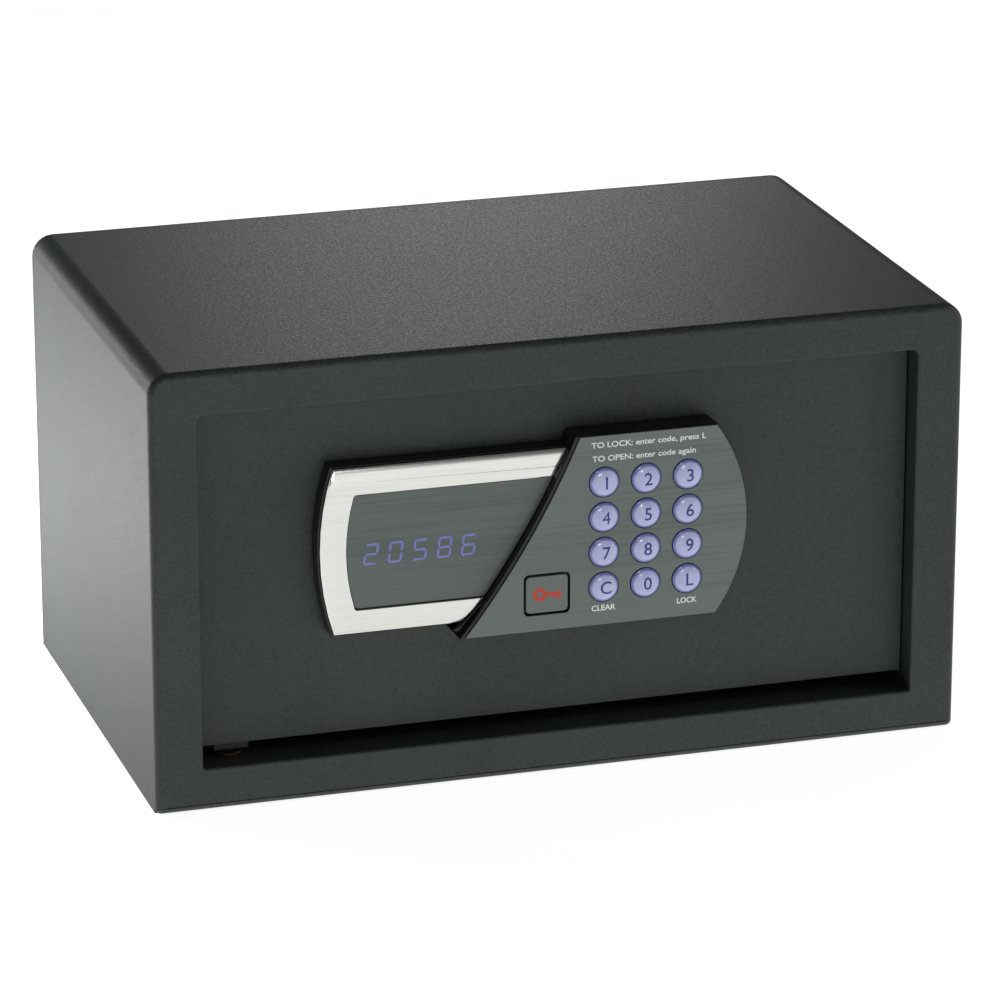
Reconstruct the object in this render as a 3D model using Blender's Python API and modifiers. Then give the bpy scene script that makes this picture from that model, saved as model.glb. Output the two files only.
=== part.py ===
"""In-room safe: folded steel casing, pivot-hung door, electronic lock with keypad and motor-driven bolts.

Frame: metres, +Z up, the door faces -Y, origin at the middle of the object's footprint on the floor.
Widths run along X, heights along Z.  "Proud" is a distance forward of the door's front face, and
"behind" is a distance back from it.
"""

import math

import bmesh
import bpy
from mathutils import Matrix, Vector

MM = 0.001
GAP = 0.3 * MM                       # air left between touching pieces
WELD = 0.01 * MM                     # points closer than this are one point

# ---------------------------------------------------------------- driving dimensions
CASE_WIDTH = 400 * MM
CASE_HEIGHT = 216 * MM
CASE_DEPTH = 245 * MM
TOP_CORNER = 10.5 * MM               # fold radius of the casing's two long top edges
FOOT_CORNER = 3 * MM                 # corner radius of the front frame at the floor
SHEET = 2 * MM                       # casing sheet
FRAME_SHEET = 4 * MM                 # front frame plate
FRAME_ROUND = 2.8 * MM               # rounding of the front frame's edges

OPENING_HALF = 177 * MM              # doorway, half its width
OPENING_LOW = 21 * MM
OPENING_TOP = 194.5 * MM
JAMB_DEPTH = 48 * MM                 # how far back the doorway's reveal reaches
DOOR_RECESS = 12 * MM                # door face behind the front frame

FIXING_PLACES = ((-110 * MM, 30 * MM), (110 * MM, 30 * MM))
FIXING_RADIUS = 5 * MM
BACK_FIXING_Z = 150 * MM

DOOR_SHEET = 4 * MM
DOOR_LEFT = -175 * MM
DOOR_RIGHT = 176 * MM
DOOR_LOW = 28 * MM
DOOR_TOP = 193 * MM

KEY_PROUD = 18.6 * MM                # crown of a key, the foremost point of the object
DOOR_CHAMFER = 0.5 * MM
HINGE_FROM_REVEAL = 16 * MM          # hinge axis from the left reveal
HINGE_BEHIND = 7.2 * MM              # hinge axis behind the door's face
PIN_RADIUS = 2.8 * MM                # hinge pin; its bush is bored GAP larger
BUSH_RADIUS = 4.8 * MM
BUSH_FLANGE = 7 * MM
BUSH_FLANGE_SHEET = 1.5 * MM
BUSH_REACH = 2.6 * MM                # how far the sleeve goes past the reveal's face
SCREW_PASSAGE = 2.3 * MM             # radius of the holes for the cover's screws

BOLT_RADIUS = 7 * MM
BOLT_HEIGHTS = (84 * MM, 150 * MM)
BOLT_BEHIND = 18 * MM
BOLT_THROW = 14 * MM
BOLT_PLAY = 0.6 * MM                 # round a bolt in sheet metal
GUIDE_PLAY = 0.35 * MM               # round a bolt in its guide

# ---------------------------------------------------------------- levels along Y
Y_FRONT = (KEY_PROUD - DOOR_RECESS - CASE_DEPTH) / 2
Y_BACK = Y_FRONT + CASE_DEPTH
Y_DOOR = Y_FRONT + DOOR_RECESS
Y_PLATE_BACK = Y_DOOR + DOOR_SHEET
HINGE_X = -OPENING_HALF + HINGE_FROM_REVEAL
HINGE_Y = Y_DOOR + HINGE_BEHIND

# lock plate on the door's face
PLATE_MIDDLE_Z = 121.2 * MM
BEZEL_HALF = 40.9 * MM               # half height of the chrome frame
PAD_HALF = 47.1 * MM                 # half height of the keypad section
BEZEL_LEFT = -112.6 * MM             # chrome corners; the end bows out past them
BEZEL_BOW = 6.5 * MM
BEZEL_CHAMFER = 0.7 * MM
PAD_RIGHT = 74.3 * MM                # keypad corners; the end bows out past them
PAD_BOW = 15.3 * MM
PAD_TOP_X = 6.3 * MM                 # where the slanted edge meets the top
PAD_TIP_X = -50.2 * MM               # where it meets the bottom
SLANT_BOW = 3.7 * MM
SLANT_LIP = 2.2 * MM                 # black wall showing beside the slanted edge
SCOOP_SLANT = 12.2 * MM              # how far left the chrome's lower end is cut away for a fingertip
SCOOP_LEFT = -55.6 * MM
SCOOP_PROUD = 12 * MM
WINDOW_TOP = 148.6 * MM
WINDOW_LOW = 92.4 * MM
WINDOW_LEFT = -102.7 * MM
WINDOW_BOW = 3.6 * MM
BASE_PROUD = 9.0 * MM
BEZEL_PROUD = 11.5 * MM
WINDOW_PROUD = 10.6 * MM
PAD_PROUD = 15.6 * MM
FASCIA_PROUD = 16.5 * MM
HOUSING_WALL = 2.2 * MM
HOUSING_MARGIN = 0.4 * MM            # black edge showing round the fascia
LEVEL_STEP = 0.15 * MM               # keeps joined blocks from ending on the same plane

KEY_COLUMNS = (18.2 * MM, 39.0 * MM, 59.8 * MM)
KEY_ROWS = (145.3 * MM, 127.9 * MM, 110.5 * MM, 93.1 * MM)
KEY_NAMES = (("1", "2", "3"), ("4", "5", "6"), ("7", "8", "9"), ("clear", "0", "lock"))
KEY_RADIUS = 7.25 * MM
KEY_HOLE = 7.6 * MM
BADGE_X = -9.9 * MM
BADGE_Z = 92.3 * MM
BADGE_WIDTH = 20.6 * MM
BADGE_HEIGHT = 18.2 * MM
BADGE_MARGIN = 1.2 * MM
BADGE_SHEET = 2.9 * MM
BADGE_CHAMFER = 0.4 * MM
BADGE_SEAT = 2.3 * MM                # depth of the badge's seat in the keypad section
BARREL_RADIUS = 8 * MM
BARREL_PASSAGE = BARREL_RADIUS + 0.4 * MM
COLLAR_RADIUS = BARREL_PASSAGE + 1.8 * MM

# inner cover on the back of the door
COVER_LOW = Vector((-140 * MM, Y_PLATE_BACK + GAP, 38 * MM))
COVER_HIGH = Vector((160 * MM, Y_DOOR + 36 * MM, 184 * MM))
COVER_WALL = 1.5 * MM
COVER_FLANGE = 9 * MM

# rack and pinion
TOOTH_MODULE = 1.0 * MM
PINION_TEETH = 12
PINION_PITCH = TOOTH_MODULE * PINION_TEETH / 2
TOOTH_TIP = 0.8 * MM
TOOTH_ROOT = 1.15 * MM
PRESSURE_ANGLE = math.radians(20)
BACKLASH = 0.35 * MM
RACK_PITCH_Z = 127 * MM
PINION_X = -14 * MM
CARRIAGE_BEHIND = 8.5 * MM
CARRIAGE_SHEET = 3 * MM
SHAFT_RADIUS = 1.5 * MM


# ---------------------------------------------------------------- scene and tools
def clear_scene():
    for thing in list(bpy.data.objects):
        bpy.data.objects.remove(thing, do_unlink=True)


def new_collection(name):
    collection = bpy.data.collections.new(name)
    bpy.context.scene.collection.children.link(collection)
    return collection


def new_material(name, colour, roughness, metallic=0.0):
    material = bpy.data.materials.new(name)
    material.use_nodes = True
    shader = material.node_tree.nodes["Principled BSDF"]
    shader.inputs["Base Color"].default_value = (*colour, 1.0)
    shader.inputs["Roughness"].default_value = roughness
    shader.inputs["Metallic"].default_value = metallic
    return material


clear_scene()
SAFE = new_collection("in_room_safe")
CUTTERS = new_collection("cutters")

POWDER_COAT = ("powder_coat", (0.045, 0.055, 0.053), 0.55, 0.0)
BLACK_ABS = ("black_abs", (0.012, 0.014, 0.014), 0.3, 0.0)
CHROME = ("satin_chrome", (0.80, 0.79, 0.77), 0.18, 1.0)
SMOKED = ("smoked_window", (0.13, 0.15, 0.145), 0.25, 0.0)
GREY_FACE = ("grey_fascia", (0.14, 0.155, 0.15), 0.4, 0.0)
KEY_PLASTIC = ("violet_key", (0.50, 0.50, 0.75), 0.3, 0.0)
STEEL = ("zinc_steel", (0.62, 0.62, 0.60), 0.32, 1.0)
BRASS = ("brass", (0.70, 0.52, 0.24), 0.3, 1.0)
CIRCUIT = ("circuit_board", (0.02, 0.14, 0.06), 0.45, 0.0)
GREY_COVER = ("grey_cover", (0.10, 0.105, 0.105), 0.5, 0.0)
CELL_WRAP = ("cell_sleeve", (0.03, 0.03, 0.035), 0.35, 0.0)
FELT = ("felt_mat", (0.05, 0.052, 0.055), 0.95, 0.0)
RIBBON = ("ribbon_grey", (0.32, 0.32, 0.33), 0.5, 0.0)


def finish(obj, look):
    """Name the object's mesh and give the object a material of its own."""
    obj.data.name = obj.name
    obj.data.materials.clear()
    name, colour, roughness, metallic = look
    obj.data.materials.append(new_material(name + "_" + obj.name, colour, roughness, metallic))
    return obj


def mesh_object(name, bm, collection=SAFE):
    mesh = bpy.data.meshes.new(name)
    bm.to_mesh(mesh)
    bm.free()
    obj = bpy.data.objects.new(name, mesh)
    collection.objects.link(obj)
    return obj


def block(name, low, high, collection=SAFE):
    """A box between two corners."""
    low, high = Vector(low), Vector(high)
    bm = bmesh.new()
    bmesh.ops.create_cube(bm, size=1.0)
    bmesh.ops.scale(bm, vec=high - low, verts=bm.verts)
    obj = mesh_object(name, bm, collection)
    obj.location = (low + high) / 2
    return obj


AXIS_TURNS = {
    "X": Matrix.Rotation(math.pi / 2, 4, "Y"),
    "Y": Matrix.Rotation(-math.pi / 2, 4, "X"),
    "Z": Matrix.Identity(4),
}


def rod(name, start, axis, length, radius, segments=24, collection=SAFE):
    """A cylinder that starts at a point and runs a length along +X, +Y or +Z."""
    bm = bmesh.new()
    bmesh.ops.create_cone(bm, cap_ends=True, segments=segments, radius1=radius, radius2=radius, depth=length)
    bmesh.ops.translate(bm, vec=(0, 0, length / 2), verts=bm.verts)
    bmesh.ops.transform(bm, matrix=AXIS_TURNS[axis], verts=bm.verts)
    obj = mesh_object(name, bm, collection)
    obj.location = start
    return obj


def turned(name, origin, profile, steps, facing):
    """A lathe shape: (radius, height) pairs from the top centre, down the outside, to the bottom centre.

    facing is the Euler turn that brings the lathe axis, +Z, to where it points on the object.
    """
    bm = bmesh.new()
    points = [bm.verts.new((radius, 0, height)) for radius, height in profile]
    for upper, lower in zip(points, points[1:]):
        bm.edges.new((upper, lower))
    obj = mesh_object(name, bm)
    screw = obj.modifiers.new("turn", "SCREW")
    screw.steps = steps
    screw.render_steps = steps
    screw.use_merge_vertices = True
    screw.merge_threshold = WELD
    screw.use_smooth_shade = True
    obj.location = origin
    obj.rotation_euler = facing
    return obj


FORWARD = (math.pi / 2, 0, 0)        # lathe axis towards -Y, out of the door's face
UPWARD = (0, 0, 0)
DOWNWARD = (math.pi, 0, 0)
RIGHTWARD = (0, math.pi / 2, 0)
BACKWARD = (-math.pi / 2, 0, 0)


def flat_piece(name, outlines, location, turn, thickness, collection=SAFE):
    """A flat piece filled from closed outlines: the first is its edge, the rest are holes."""
    curve = bpy.data.curves.new(name, "CURVE")
    curve.dimensions = "2D"
    curve.fill_mode = "BOTH"
    curve.extrude = thickness / 2
    for outline in outlines:
        spline = curve.splines.new("POLY")
        spline.points.add(len(outline) - 1)
        for point, (across, along) in zip(spline.points, outline):
            point.co = (across, along, 0, 1)
        spline.use_cyclic_u = True
    drawn = bpy.data.objects.new(name + "_outline", curve)
    collection.objects.link(drawn)
    drawn.location = location
    drawn.rotation_euler = turn
    bpy.context.view_layer.update()
    mesh = bpy.data.meshes.new_from_object(drawn.evaluated_get(bpy.context.evaluated_depsgraph_get()))
    bm = bmesh.new()
    bm.from_mesh(mesh)
    bmesh.ops.remove_doubles(bm, verts=bm.verts, dist=WELD)
    bmesh.ops.dissolve_limit(bm, angle_limit=math.radians(0.05), verts=bm.verts, edges=bm.edges)
    bmesh.ops.recalc_face_normals(bm, faces=bm.faces)
    bm.to_mesh(mesh)
    bm.free()
    obj = bpy.data.objects.new(name, mesh)
    collection.objects.link(obj)
    obj.matrix_world = drawn.matrix_world
    bpy.data.objects.remove(drawn, do_unlink=True)
    return obj


def plate(name, outlines, y_front, thickness, collection=SAFE):
    """A flat piece standing in the XZ plane, from a front level back."""
    return flat_piece(name, outlines, (0, y_front + thickness / 2, 0), FORWARD, thickness, collection)


def combine(target, tool, operation):
    """Apply one exact Boolean to the target and keep its tool as a hidden guide or cutter."""
    modifier = target.modifiers.new(tool.name, "BOOLEAN")
    modifier.operation = operation
    modifier.solver = "EXACT"
    modifier.object = tool
    tool.hide_render = True
    tool.display_type = "WIRE"


def cut(target, *tools):
    for tool in tools:
        combine(target, tool, "DIFFERENCE")


def join(target, *tools):
    for tool in tools:
        combine(target, tool, "UNION")


def round_edges(obj, chosen, width, segments):
    """Round the sharp edges whose middles pass the test."""
    bm = bmesh.new()
    bm.from_mesh(obj.data)
    turn = obj.matrix_world
    edges = []
    for edge in bm.edges:
        middle = turn @ ((edge.verts[0].co + edge.verts[1].co) / 2)
        if len(edge.link_faces) == 2 and edge.calc_face_angle() > math.radians(40) and chosen(middle):
            edges.append(edge)
    bmesh.ops.bevel(bm, geom=edges, offset=width, segments=segments, affect="EDGES", profile=0.5, material=-1)
    bm.to_mesh(obj.data)
    bm.free()


# ---------------------------------------------------------------- outlines, as (x, z) points
def arc(start, end, bow, steps):
    """Points from start up to but not including end, on an arc that bows to the left of the way there."""
    start, end = Vector(start), Vector(end)
    chord = end - start
    left = Vector((-chord.y, chord.x)).normalized()
    radius = (chord.length_squared / 4 + bow * bow) / (2 * bow)
    centre = (start + end) / 2 + left * (bow - radius)
    first = start - centre
    sweep = 2 * math.asin(chord.length / 2 / radius)
    points = []
    for step in range(steps):
        angle = -sweep * step / steps
        turn = Matrix.Rotation(angle, 2)
        points.append(tuple(centre + turn @ first))
    return points


def circle(x, z, radius, steps):
    turns = (2 * math.pi * step / steps for step in range(steps))
    return [(x + radius * math.cos(turn), z + radius * math.sin(turn)) for turn in turns]


def rounded(low_x, low_z, high_x, high_z, radii, steps):
    """A rectangle with its four corner radii: low left, low right, high right, high left."""
    corners = ((low_x, low_z, 180), (high_x, low_z, 270), (high_x, high_z, 0), (low_x, high_z, 90))
    inward = ((1, 1), (-1, 1), (-1, -1), (1, -1))
    points = []
    for (x, z, begin), (in_x, in_z), radius in zip(corners, inward, radii):
        if radius == 0:
            points.append((x, z))
            continue
        for step in range(steps + 1):
            angle = math.radians(begin + 90 * step / steps)
            points.append((
                x + in_x * radius + radius * math.cos(angle),
                z + in_z * radius + radius * math.sin(angle),
            ))
    return points


def keypad_outline(grow=0.0, lip=0.0):
    """The keypad section: slanted bowed left edge, straight top and bottom, bowed right end."""
    top = PLATE_MIDDLE_Z + PAD_HALF + grow
    low = PLATE_MIDDLE_Z - PAD_HALF - grow
    right = PAD_RIGHT + grow
    outline = arc((right, low), (right, top), -(PAD_BOW + grow / 2), 12)
    return outline + [(right, top)] + slant_points(top, low, lip, 10)


def slant_x(height, lip=0.0):
    """Where the slanted edge, moved left by lip, stands at a height."""
    low = PLATE_MIDDLE_Z - PAD_HALF
    top = PLATE_MIDDLE_Z + PAD_HALF
    share = (height - low) / (top - low)
    line = PAD_TIP_X + (PAD_TOP_X - PAD_TIP_X) * share
    bow = SLANT_BOW / math.cos(math.atan2(PAD_TOP_X - PAD_TIP_X, top - low))
    return line + bow * 4 * share * (1 - share) - lip


def slant_points(high, low, lip, steps):
    heights = (high + (low - high) * step / steps for step in range(steps + 1))
    return [(slant_x(height, lip), height) for height in heights]


# ---------------------------------------------------------------- casing
def make_casing_wrap():
    """Top and both sides, folded from one sheet, open at the floor, front and back."""
    half = CASE_WIDTH / 2
    inner = half - SHEET
    outline = [(half, 0)]
    outline += rounded(-half, 0, half, CASE_HEIGHT, (0, 0, TOP_CORNER, TOP_CORNER), 6)[2:]
    outline += [(-half, 0), (-inner, 0)]
    inside = rounded(-inner, 0, inner, CASE_HEIGHT - SHEET, (0, 0, TOP_CORNER - SHEET, TOP_CORNER - SHEET), 6)[2:]
    outline += reversed(inside)
    outline += [(inner, 0)]
    depth = CASE_DEPTH - FRAME_SHEET - SHEET - 2 * GAP
    return finish(plate("casing_wrap", [outline], Y_FRONT + FRAME_SHEET + GAP, depth), POWDER_COAT)


def doorway(grow):
    return rounded(
        -OPENING_HALF - grow, OPENING_LOW - grow, OPENING_HALF + grow, OPENING_TOP + grow,
        (1 * MM + grow, 1 * MM + grow, 3 * MM + grow, 3 * MM + grow), 3,
    )


def make_front_frame():
    """The frame round the door, with rounded outer and inner front edges."""
    half = CASE_WIDTH / 2
    corners = (FOOT_CORNER, FOOT_CORNER, TOP_CORNER, TOP_CORNER)
    edge = rounded(-half, 0, half, CASE_HEIGHT, corners, 6)
    frame = plate("front_frame", [edge, doorway(0)], Y_FRONT, FRAME_SHEET)
    round_edges(frame, lambda middle: middle.y < Y_FRONT + GAP, FRAME_ROUND, 2)
    return finish(frame, POWDER_COAT)


def make_door_jamb():
    """The reveal behind the front frame, with bolt holes at the right and hinge holes at the left."""
    front = Y_FRONT + FRAME_SHEET + GAP
    jamb = plate("door_jamb", [doorway(SHEET), doorway(0)], front, JAMB_DEPTH - FRAME_SHEET - GAP)
    for height in BOLT_HEIGHTS:
        start = (OPENING_HALF - SHEET, Y_DOOR + BOLT_BEHIND, height)
        cut(jamb, rod("bolt_hole_cutter", start, "X", 3 * SHEET, BOLT_RADIUS + BOLT_PLAY, 24, CUTTERS))
    for height in (OPENING_LOW - 2 * SHEET, OPENING_TOP - SHEET):
        start = (HINGE_X, HINGE_Y, height)
        cut(jamb, rod("hinge_hole_cutter", start, "Z", 3 * SHEET, BUSH_RADIUS + GAP, 24, CUTTERS))
    return finish(jamb, POWDER_COAT)


def make_base_plate():
    """Floor of the casing, with two holes to fix the safe to a shelf."""
    low = (-CASE_WIDTH / 2 + SHEET + GAP, Y_FRONT + FRAME_SHEET + GAP, 0)
    high = (CASE_WIDTH / 2 - SHEET - GAP, Y_BACK - SHEET - GAP, SHEET)
    base = block("base_plate", low, high)
    for x, y in FIXING_PLACES:
        cut(base, rod("base_hole_cutter", (x, y, -SHEET), "Z", 3 * SHEET, FIXING_RADIUS, 16, CUTTERS))
    return finish(base, POWDER_COAT)


def make_back_plate():
    """Rear wall, with two holes to fix the safe to the wall behind it."""
    half = CASE_WIDTH / 2
    edge = rounded(-half, 0, half, CASE_HEIGHT, (0, 0, TOP_CORNER, TOP_CORNER), 6)
    holes = [circle(x, BACK_FIXING_Z, FIXING_RADIUS, 16) for x, y in FIXING_PLACES]
    return finish(plate("back_plate", [edge] + holes, Y_BACK - SHEET, SHEET), POWDER_COAT)


def make_floor_mat():
    """Felt laid on the floor behind the reveal, pierced over the fixing holes."""
    side = CASE_WIDTH / 2 - SHEET - 5 * MM
    low = (-side, Y_FRONT + JAMB_DEPTH + 2 * MM, SHEET + GAP)
    high = (side, Y_BACK - SHEET - 5 * MM, SHEET + GAP + 3 * MM)
    mat = block("floor_mat", low, high)
    for x, y in FIXING_PLACES:
        cut(mat, rod("mat_hole_cutter", (x, y, 0), "Z", 6 * SHEET, FIXING_RADIUS + 3 * MM, 16, CUTTERS))
    return finish(mat, FELT)


def make_hinge_bush(name, height, facing):
    """A flanged sleeve in the reveal; its flange faces the door."""
    bore = PIN_RADIUS + GAP
    profile = (
        (BUSH_RADIUS, BUSH_REACH), (BUSH_RADIUS, -GAP), (BUSH_FLANGE, -GAP), (BUSH_FLANGE, -BUSH_FLANGE_SHEET),
        (bore, -BUSH_FLANGE_SHEET), (bore, BUSH_REACH), (BUSH_RADIUS, BUSH_REACH),
    )
    return finish(turned(name, (HINGE_X, HINGE_Y, height), profile, 24, facing), BRASS)


# ---------------------------------------------------------------- door
def make_door_plate():
    """The steel door leaf, with passages for the key cylinder and the ribbon cable."""
    door = block("door_plate", (DOOR_LEFT, Y_DOOR, DOOR_LOW), (DOOR_RIGHT, Y_PLATE_BACK, DOOR_TOP))
    round_edges(door, lambda middle: middle.y < Y_DOOR + DOOR_SHEET, DOOR_CHAMFER, 1)
    through = DOOR_SHEET + 4 * MM
    front = Y_DOOR - 2 * MM
    cut(door, rod("cylinder_hole_cutter", (BADGE_X, front, BADGE_Z), "Y", through, BARREL_PASSAGE, 24, CUTTERS))
    slot_low = (-61 * MM, front, 103 * MM)
    slot_high = (-53 * MM, front + through, 125 * MM)
    cut(door, block("ribbon_slot_cutter", slot_low, slot_high, CUTTERS))
    for x, z in cover_screw_places():
        start = (x, Y_PLATE_BACK - 2.8 * MM, z)
        cut(door, rod("screw_hole_cutter", start, "Y", 6 * MM, SCREW_PASSAGE, 12, CUTTERS))
    return finish(door, POWDER_COAT)


def make_hinge_pivot(name, height, facing, reach):
    """A steel block on the back of the door with a pivot pin that turns in the bush."""
    up = 1 if facing == UPWARD else -1
    edge = height - up * (BUSH_FLANGE_SHEET + 2 * GAP)
    other = edge - up * 22 * MM
    low = (HINGE_X - 7 * MM, Y_PLATE_BACK + GAP, min(edge, other))
    high = (HINGE_X + 10 * MM, HINGE_Y + 5 * MM, max(edge, other))
    pivot = block(name, low, high)
    start = edge - up * 3 * MM
    pin = rod(name + "_pin", (HINGE_X, HINGE_Y, min(start, edge + up * reach)), "Z",
              reach + 3 * MM, PIN_RADIUS, 24, CUTTERS)
    join(pivot, pin)
    return finish(pivot, POWDER_COAT)


def cover_screw_places():
    inset = COVER_FLANGE / 2
    return [
        (x, z)
        for x in (COVER_LOW.x - inset, COVER_HIGH.x + inset)
        for z in (COVER_LOW.z + 18 * MM, COVER_HIGH.z - 18 * MM)
    ]


BATTERY_LOW = Vector((-134 * MM, Y_DOOR + 15.5 * MM, 43 * MM))
BATTERY_HIGH = Vector((-66 * MM, Y_DOOR + 33.8 * MM, 101 * MM))
BATTERY_WALL = 1.5 * MM
LID_MARGIN = 4 * MM
LID_PLAY = 0.4 * MM


def make_inner_cover():
    """The pressed cover over the lock mechanism, flanged to the back of the door."""
    cover = block("inner_cover", COVER_LOW, COVER_HIGH)
    flange_low = COVER_LOW - Vector((COVER_FLANGE, 0, 0))
    flange_high = Vector((COVER_HIGH.x + COVER_FLANGE, COVER_LOW.y + COVER_WALL, COVER_HIGH.z))
    join(cover, block("cover_flange", flange_low, flange_high, CUTTERS))
    wall = Vector((COVER_WALL, COVER_WALL, COVER_WALL))
    hollow_low = Vector((COVER_LOW.x, COVER_LOW.y - 4 * COVER_WALL, COVER_LOW.z)) + Vector((wall.x, 0, wall.z))
    cut(cover, block("cover_hollow", hollow_low, COVER_HIGH - wall, CUTTERS))
    hatch_low = (BATTERY_LOW.x + LID_MARGIN, COVER_HIGH.y - 3 * COVER_WALL, BATTERY_LOW.z + LID_MARGIN)
    hatch_high = (BATTERY_HIGH.x - LID_MARGIN, COVER_HIGH.y + COVER_WALL, BATTERY_HIGH.z - LID_MARGIN)
    cut(cover, block("battery_hatch_cutter", hatch_low, hatch_high, CUTTERS))
    for height in BOLT_HEIGHTS:
        start = (COVER_HIGH.x - 3 * COVER_WALL, Y_DOOR + BOLT_BEHIND, height)
        cut(cover, rod("cover_bolt_cutter", start, "X", 6 * COVER_WALL, BOLT_RADIUS + BOLT_PLAY, 24, CUTTERS))
    for x, z in cover_screw_places():
        start = (x, COVER_LOW.y - 2 * COVER_WALL, z)
        cut(cover, rod("cover_screw_cutter", start, "Y", 6 * COVER_WALL, SCREW_PASSAGE, 12, CUTTERS))
    return finish(cover, GREY_COVER)


def make_cover_screws():
    """Pan-head screws that hold the cover to the door."""
    crown, head_radius = 2.3 * MM, 3.5 * MM
    shank_radius, shank = 2 * MM, 3.9 * MM
    profile = (
        (0, crown), (0.7 * head_radius, crown - 0.2 * MM), (head_radius, MM), (head_radius, GAP),
        (shank_radius, GAP), (shank_radius, -shank), (0, -shank),
    )
    head = COVER_LOW.y + COVER_WALL
    for number, (x, z) in enumerate(cover_screw_places(), 1):
        finish(turned(f"cover_screw_{number}", (x, head, z), profile, 16, BACKWARD), STEEL)


# ---------------------------------------------------------------- lock plate on the face
def window_outline():
    """The display window: bowed left end, right end on the slanted edge."""
    outline = slant_points(WINDOW_TOP, WINDOW_LOW, SLANT_LIP + GAP, 8)
    return outline + arc((WINDOW_LEFT, WINDOW_LOW), (WINDOW_LEFT, WINDOW_TOP), WINDOW_BOW, 8) + [
        (WINDOW_LEFT, WINDOW_TOP)]


def bezel_outline():
    """The chrome frame: a C that is open towards the keypad."""
    top = PLATE_MIDDLE_Z + BEZEL_HALF
    low = PLATE_MIDDLE_Z - BEZEL_HALF
    lip = SLANT_LIP + GAP
    inner_top, inner_low, inner_left = WINDOW_TOP + GAP, WINDOW_LOW - GAP, WINDOW_LEFT - GAP
    outline = arc((BEZEL_LEFT, low), (BEZEL_LEFT, top), BEZEL_BOW, 12)
    outline += [(BEZEL_LEFT, top), (slant_x(top, lip), top), (slant_x(inner_top, lip), inner_top)]
    outline += arc((inner_left, inner_top), (inner_left, inner_low), -WINDOW_BOW, 8)
    outline += [(inner_left, inner_low), (slant_x(inner_low, lip), inner_low)]
    outline += [(slant_x(inner_low, lip) - SCOOP_SLANT, low)]
    return outline


def base_outline(shrink):
    """The black plate under the chrome and the window, reaching in under the keypad section."""
    top = PLATE_MIDDLE_Z + BEZEL_HALF + 1 * MM - shrink
    low = PLATE_MIDDLE_Z - BEZEL_HALF - 1 * MM + shrink
    left = BEZEL_LEFT - 1 * MM + shrink
    right = 20 * MM
    return [(right, low), *arc((left, low), (left, top), BEZEL_BOW, 12), (left, top), (right, top)]


def wedge_outline():
    """The black finger-scoop corner that fills the gap below the chrome's lower end."""
    low = PLATE_MIDDLE_Z - PAD_HALF + MM
    high = WINDOW_LOW - GAP
    lip_x = slant_x(high, SLANT_LIP)
    inside_x = slant_x(low, 0)
    chrome_end = (lip_x - SCOOP_SLANT, PLATE_MIDDLE_Z - BEZEL_HALF - GAP)
    lowest = (SCOOP_LEFT, chrome_end[1] - 1.8 * MM)
    return [(inside_x, low), (slant_x(high, 0), low), (slant_x(high, 0), high), (lip_x, high), chrome_end, lowest]


def make_lock_housing():
    """The black moulding that carries the display and the keypad."""
    back = Y_DOOR - GAP
    behind = Y_DOOR + 2 * MM
    roof = Y_DOOR - PAD_PROUD + HOUSING_WALL
    housing = plate("lock_housing", [base_outline(0)], Y_DOOR - BASE_PROUD, BASE_PROUD - GAP)
    tower = keypad_outline(HOUSING_MARGIN, SLANT_LIP)
    raised = plate("keypad_tower", [tower], Y_DOOR - PAD_PROUD, PAD_PROUD - GAP - LEVEL_STEP, CUTTERS)
    scoop = plate("scoop_corner", [wedge_outline()], Y_DOOR - SCOOP_PROUD,
                  SCOOP_PROUD - GAP - 2 * LEVEL_STEP, CUTTERS)
    join(housing, raised, scoop)
    floor = Y_DOOR - BASE_PROUD + HOUSING_WALL
    pocket_low = plate("display_pocket", [base_outline(HOUSING_WALL)], floor, behind - floor, CUTTERS)
    hollow = keypad_outline(-HOUSING_WALL, SLANT_LIP - HOUSING_WALL)
    pocket_pad = plate("keypad_pocket", [hollow], roof, behind + MM - roof, CUTTERS)
    cut(housing, pocket_low, pocket_pad)
    collar = rod("cylinder_collar", (BADGE_X, roof - LEVEL_STEP, BADGE_Z), "Y",
                 back - MM - roof + LEVEL_STEP, COLLAR_RADIUS, 32, CUTTERS)
    boss = plate("badge_boss", [badge_outline(BADGE_MARGIN + 2 * MM)], roof - 2 * LEVEL_STEP, 2.4 * MM, CUTTERS)
    join(housing, collar, boss)
    ahead = Y_DOOR - 20 * MM
    for number, (x, z) in enumerate((x, z) for x in KEY_COLUMNS for z in KEY_ROWS):
        hole = circle(x, z, KEY_HOLE, 16)
        cut(housing, plate(f"key_hole_{number}", [hole], ahead, roof + MM - ahead, CUTTERS))
    seat = Y_DOOR - PAD_PROUD + BADGE_SEAT
    cut(housing, plate("badge_seat", [badge_outline(BADGE_MARGIN)], ahead, seat - ahead, CUTTERS))
    passage = rod("cylinder_passage", (BADGE_X, ahead, BADGE_Z), "Y", behind - ahead, BARREL_PASSAGE, 24, CUTTERS)
    cut(housing, passage)
    glass_low = (DISPLAY_LOW.x - MM, Y_DOOR - SCOOP_PROUD, DISPLAY_LOW.z - MM)
    glass_high = (DISPLAY_HIGH.x + MM, Y_DOOR - 3 * MM, DISPLAY_HIGH.z + MM)
    cut(housing, block("display_aperture", glass_low, glass_high, CUTTERS))
    return finish(housing, BLACK_ABS)


def badge_outline(grow):
    half_width = BADGE_WIDTH / 2 + grow
    half_height = BADGE_HEIGHT / 2 + grow
    corner = 2 * MM + grow / 2
    return rounded(BADGE_X - half_width, BADGE_Z - half_height, BADGE_X + half_width,
                   BADGE_Z + half_height, (corner,) * 4, 4)


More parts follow.
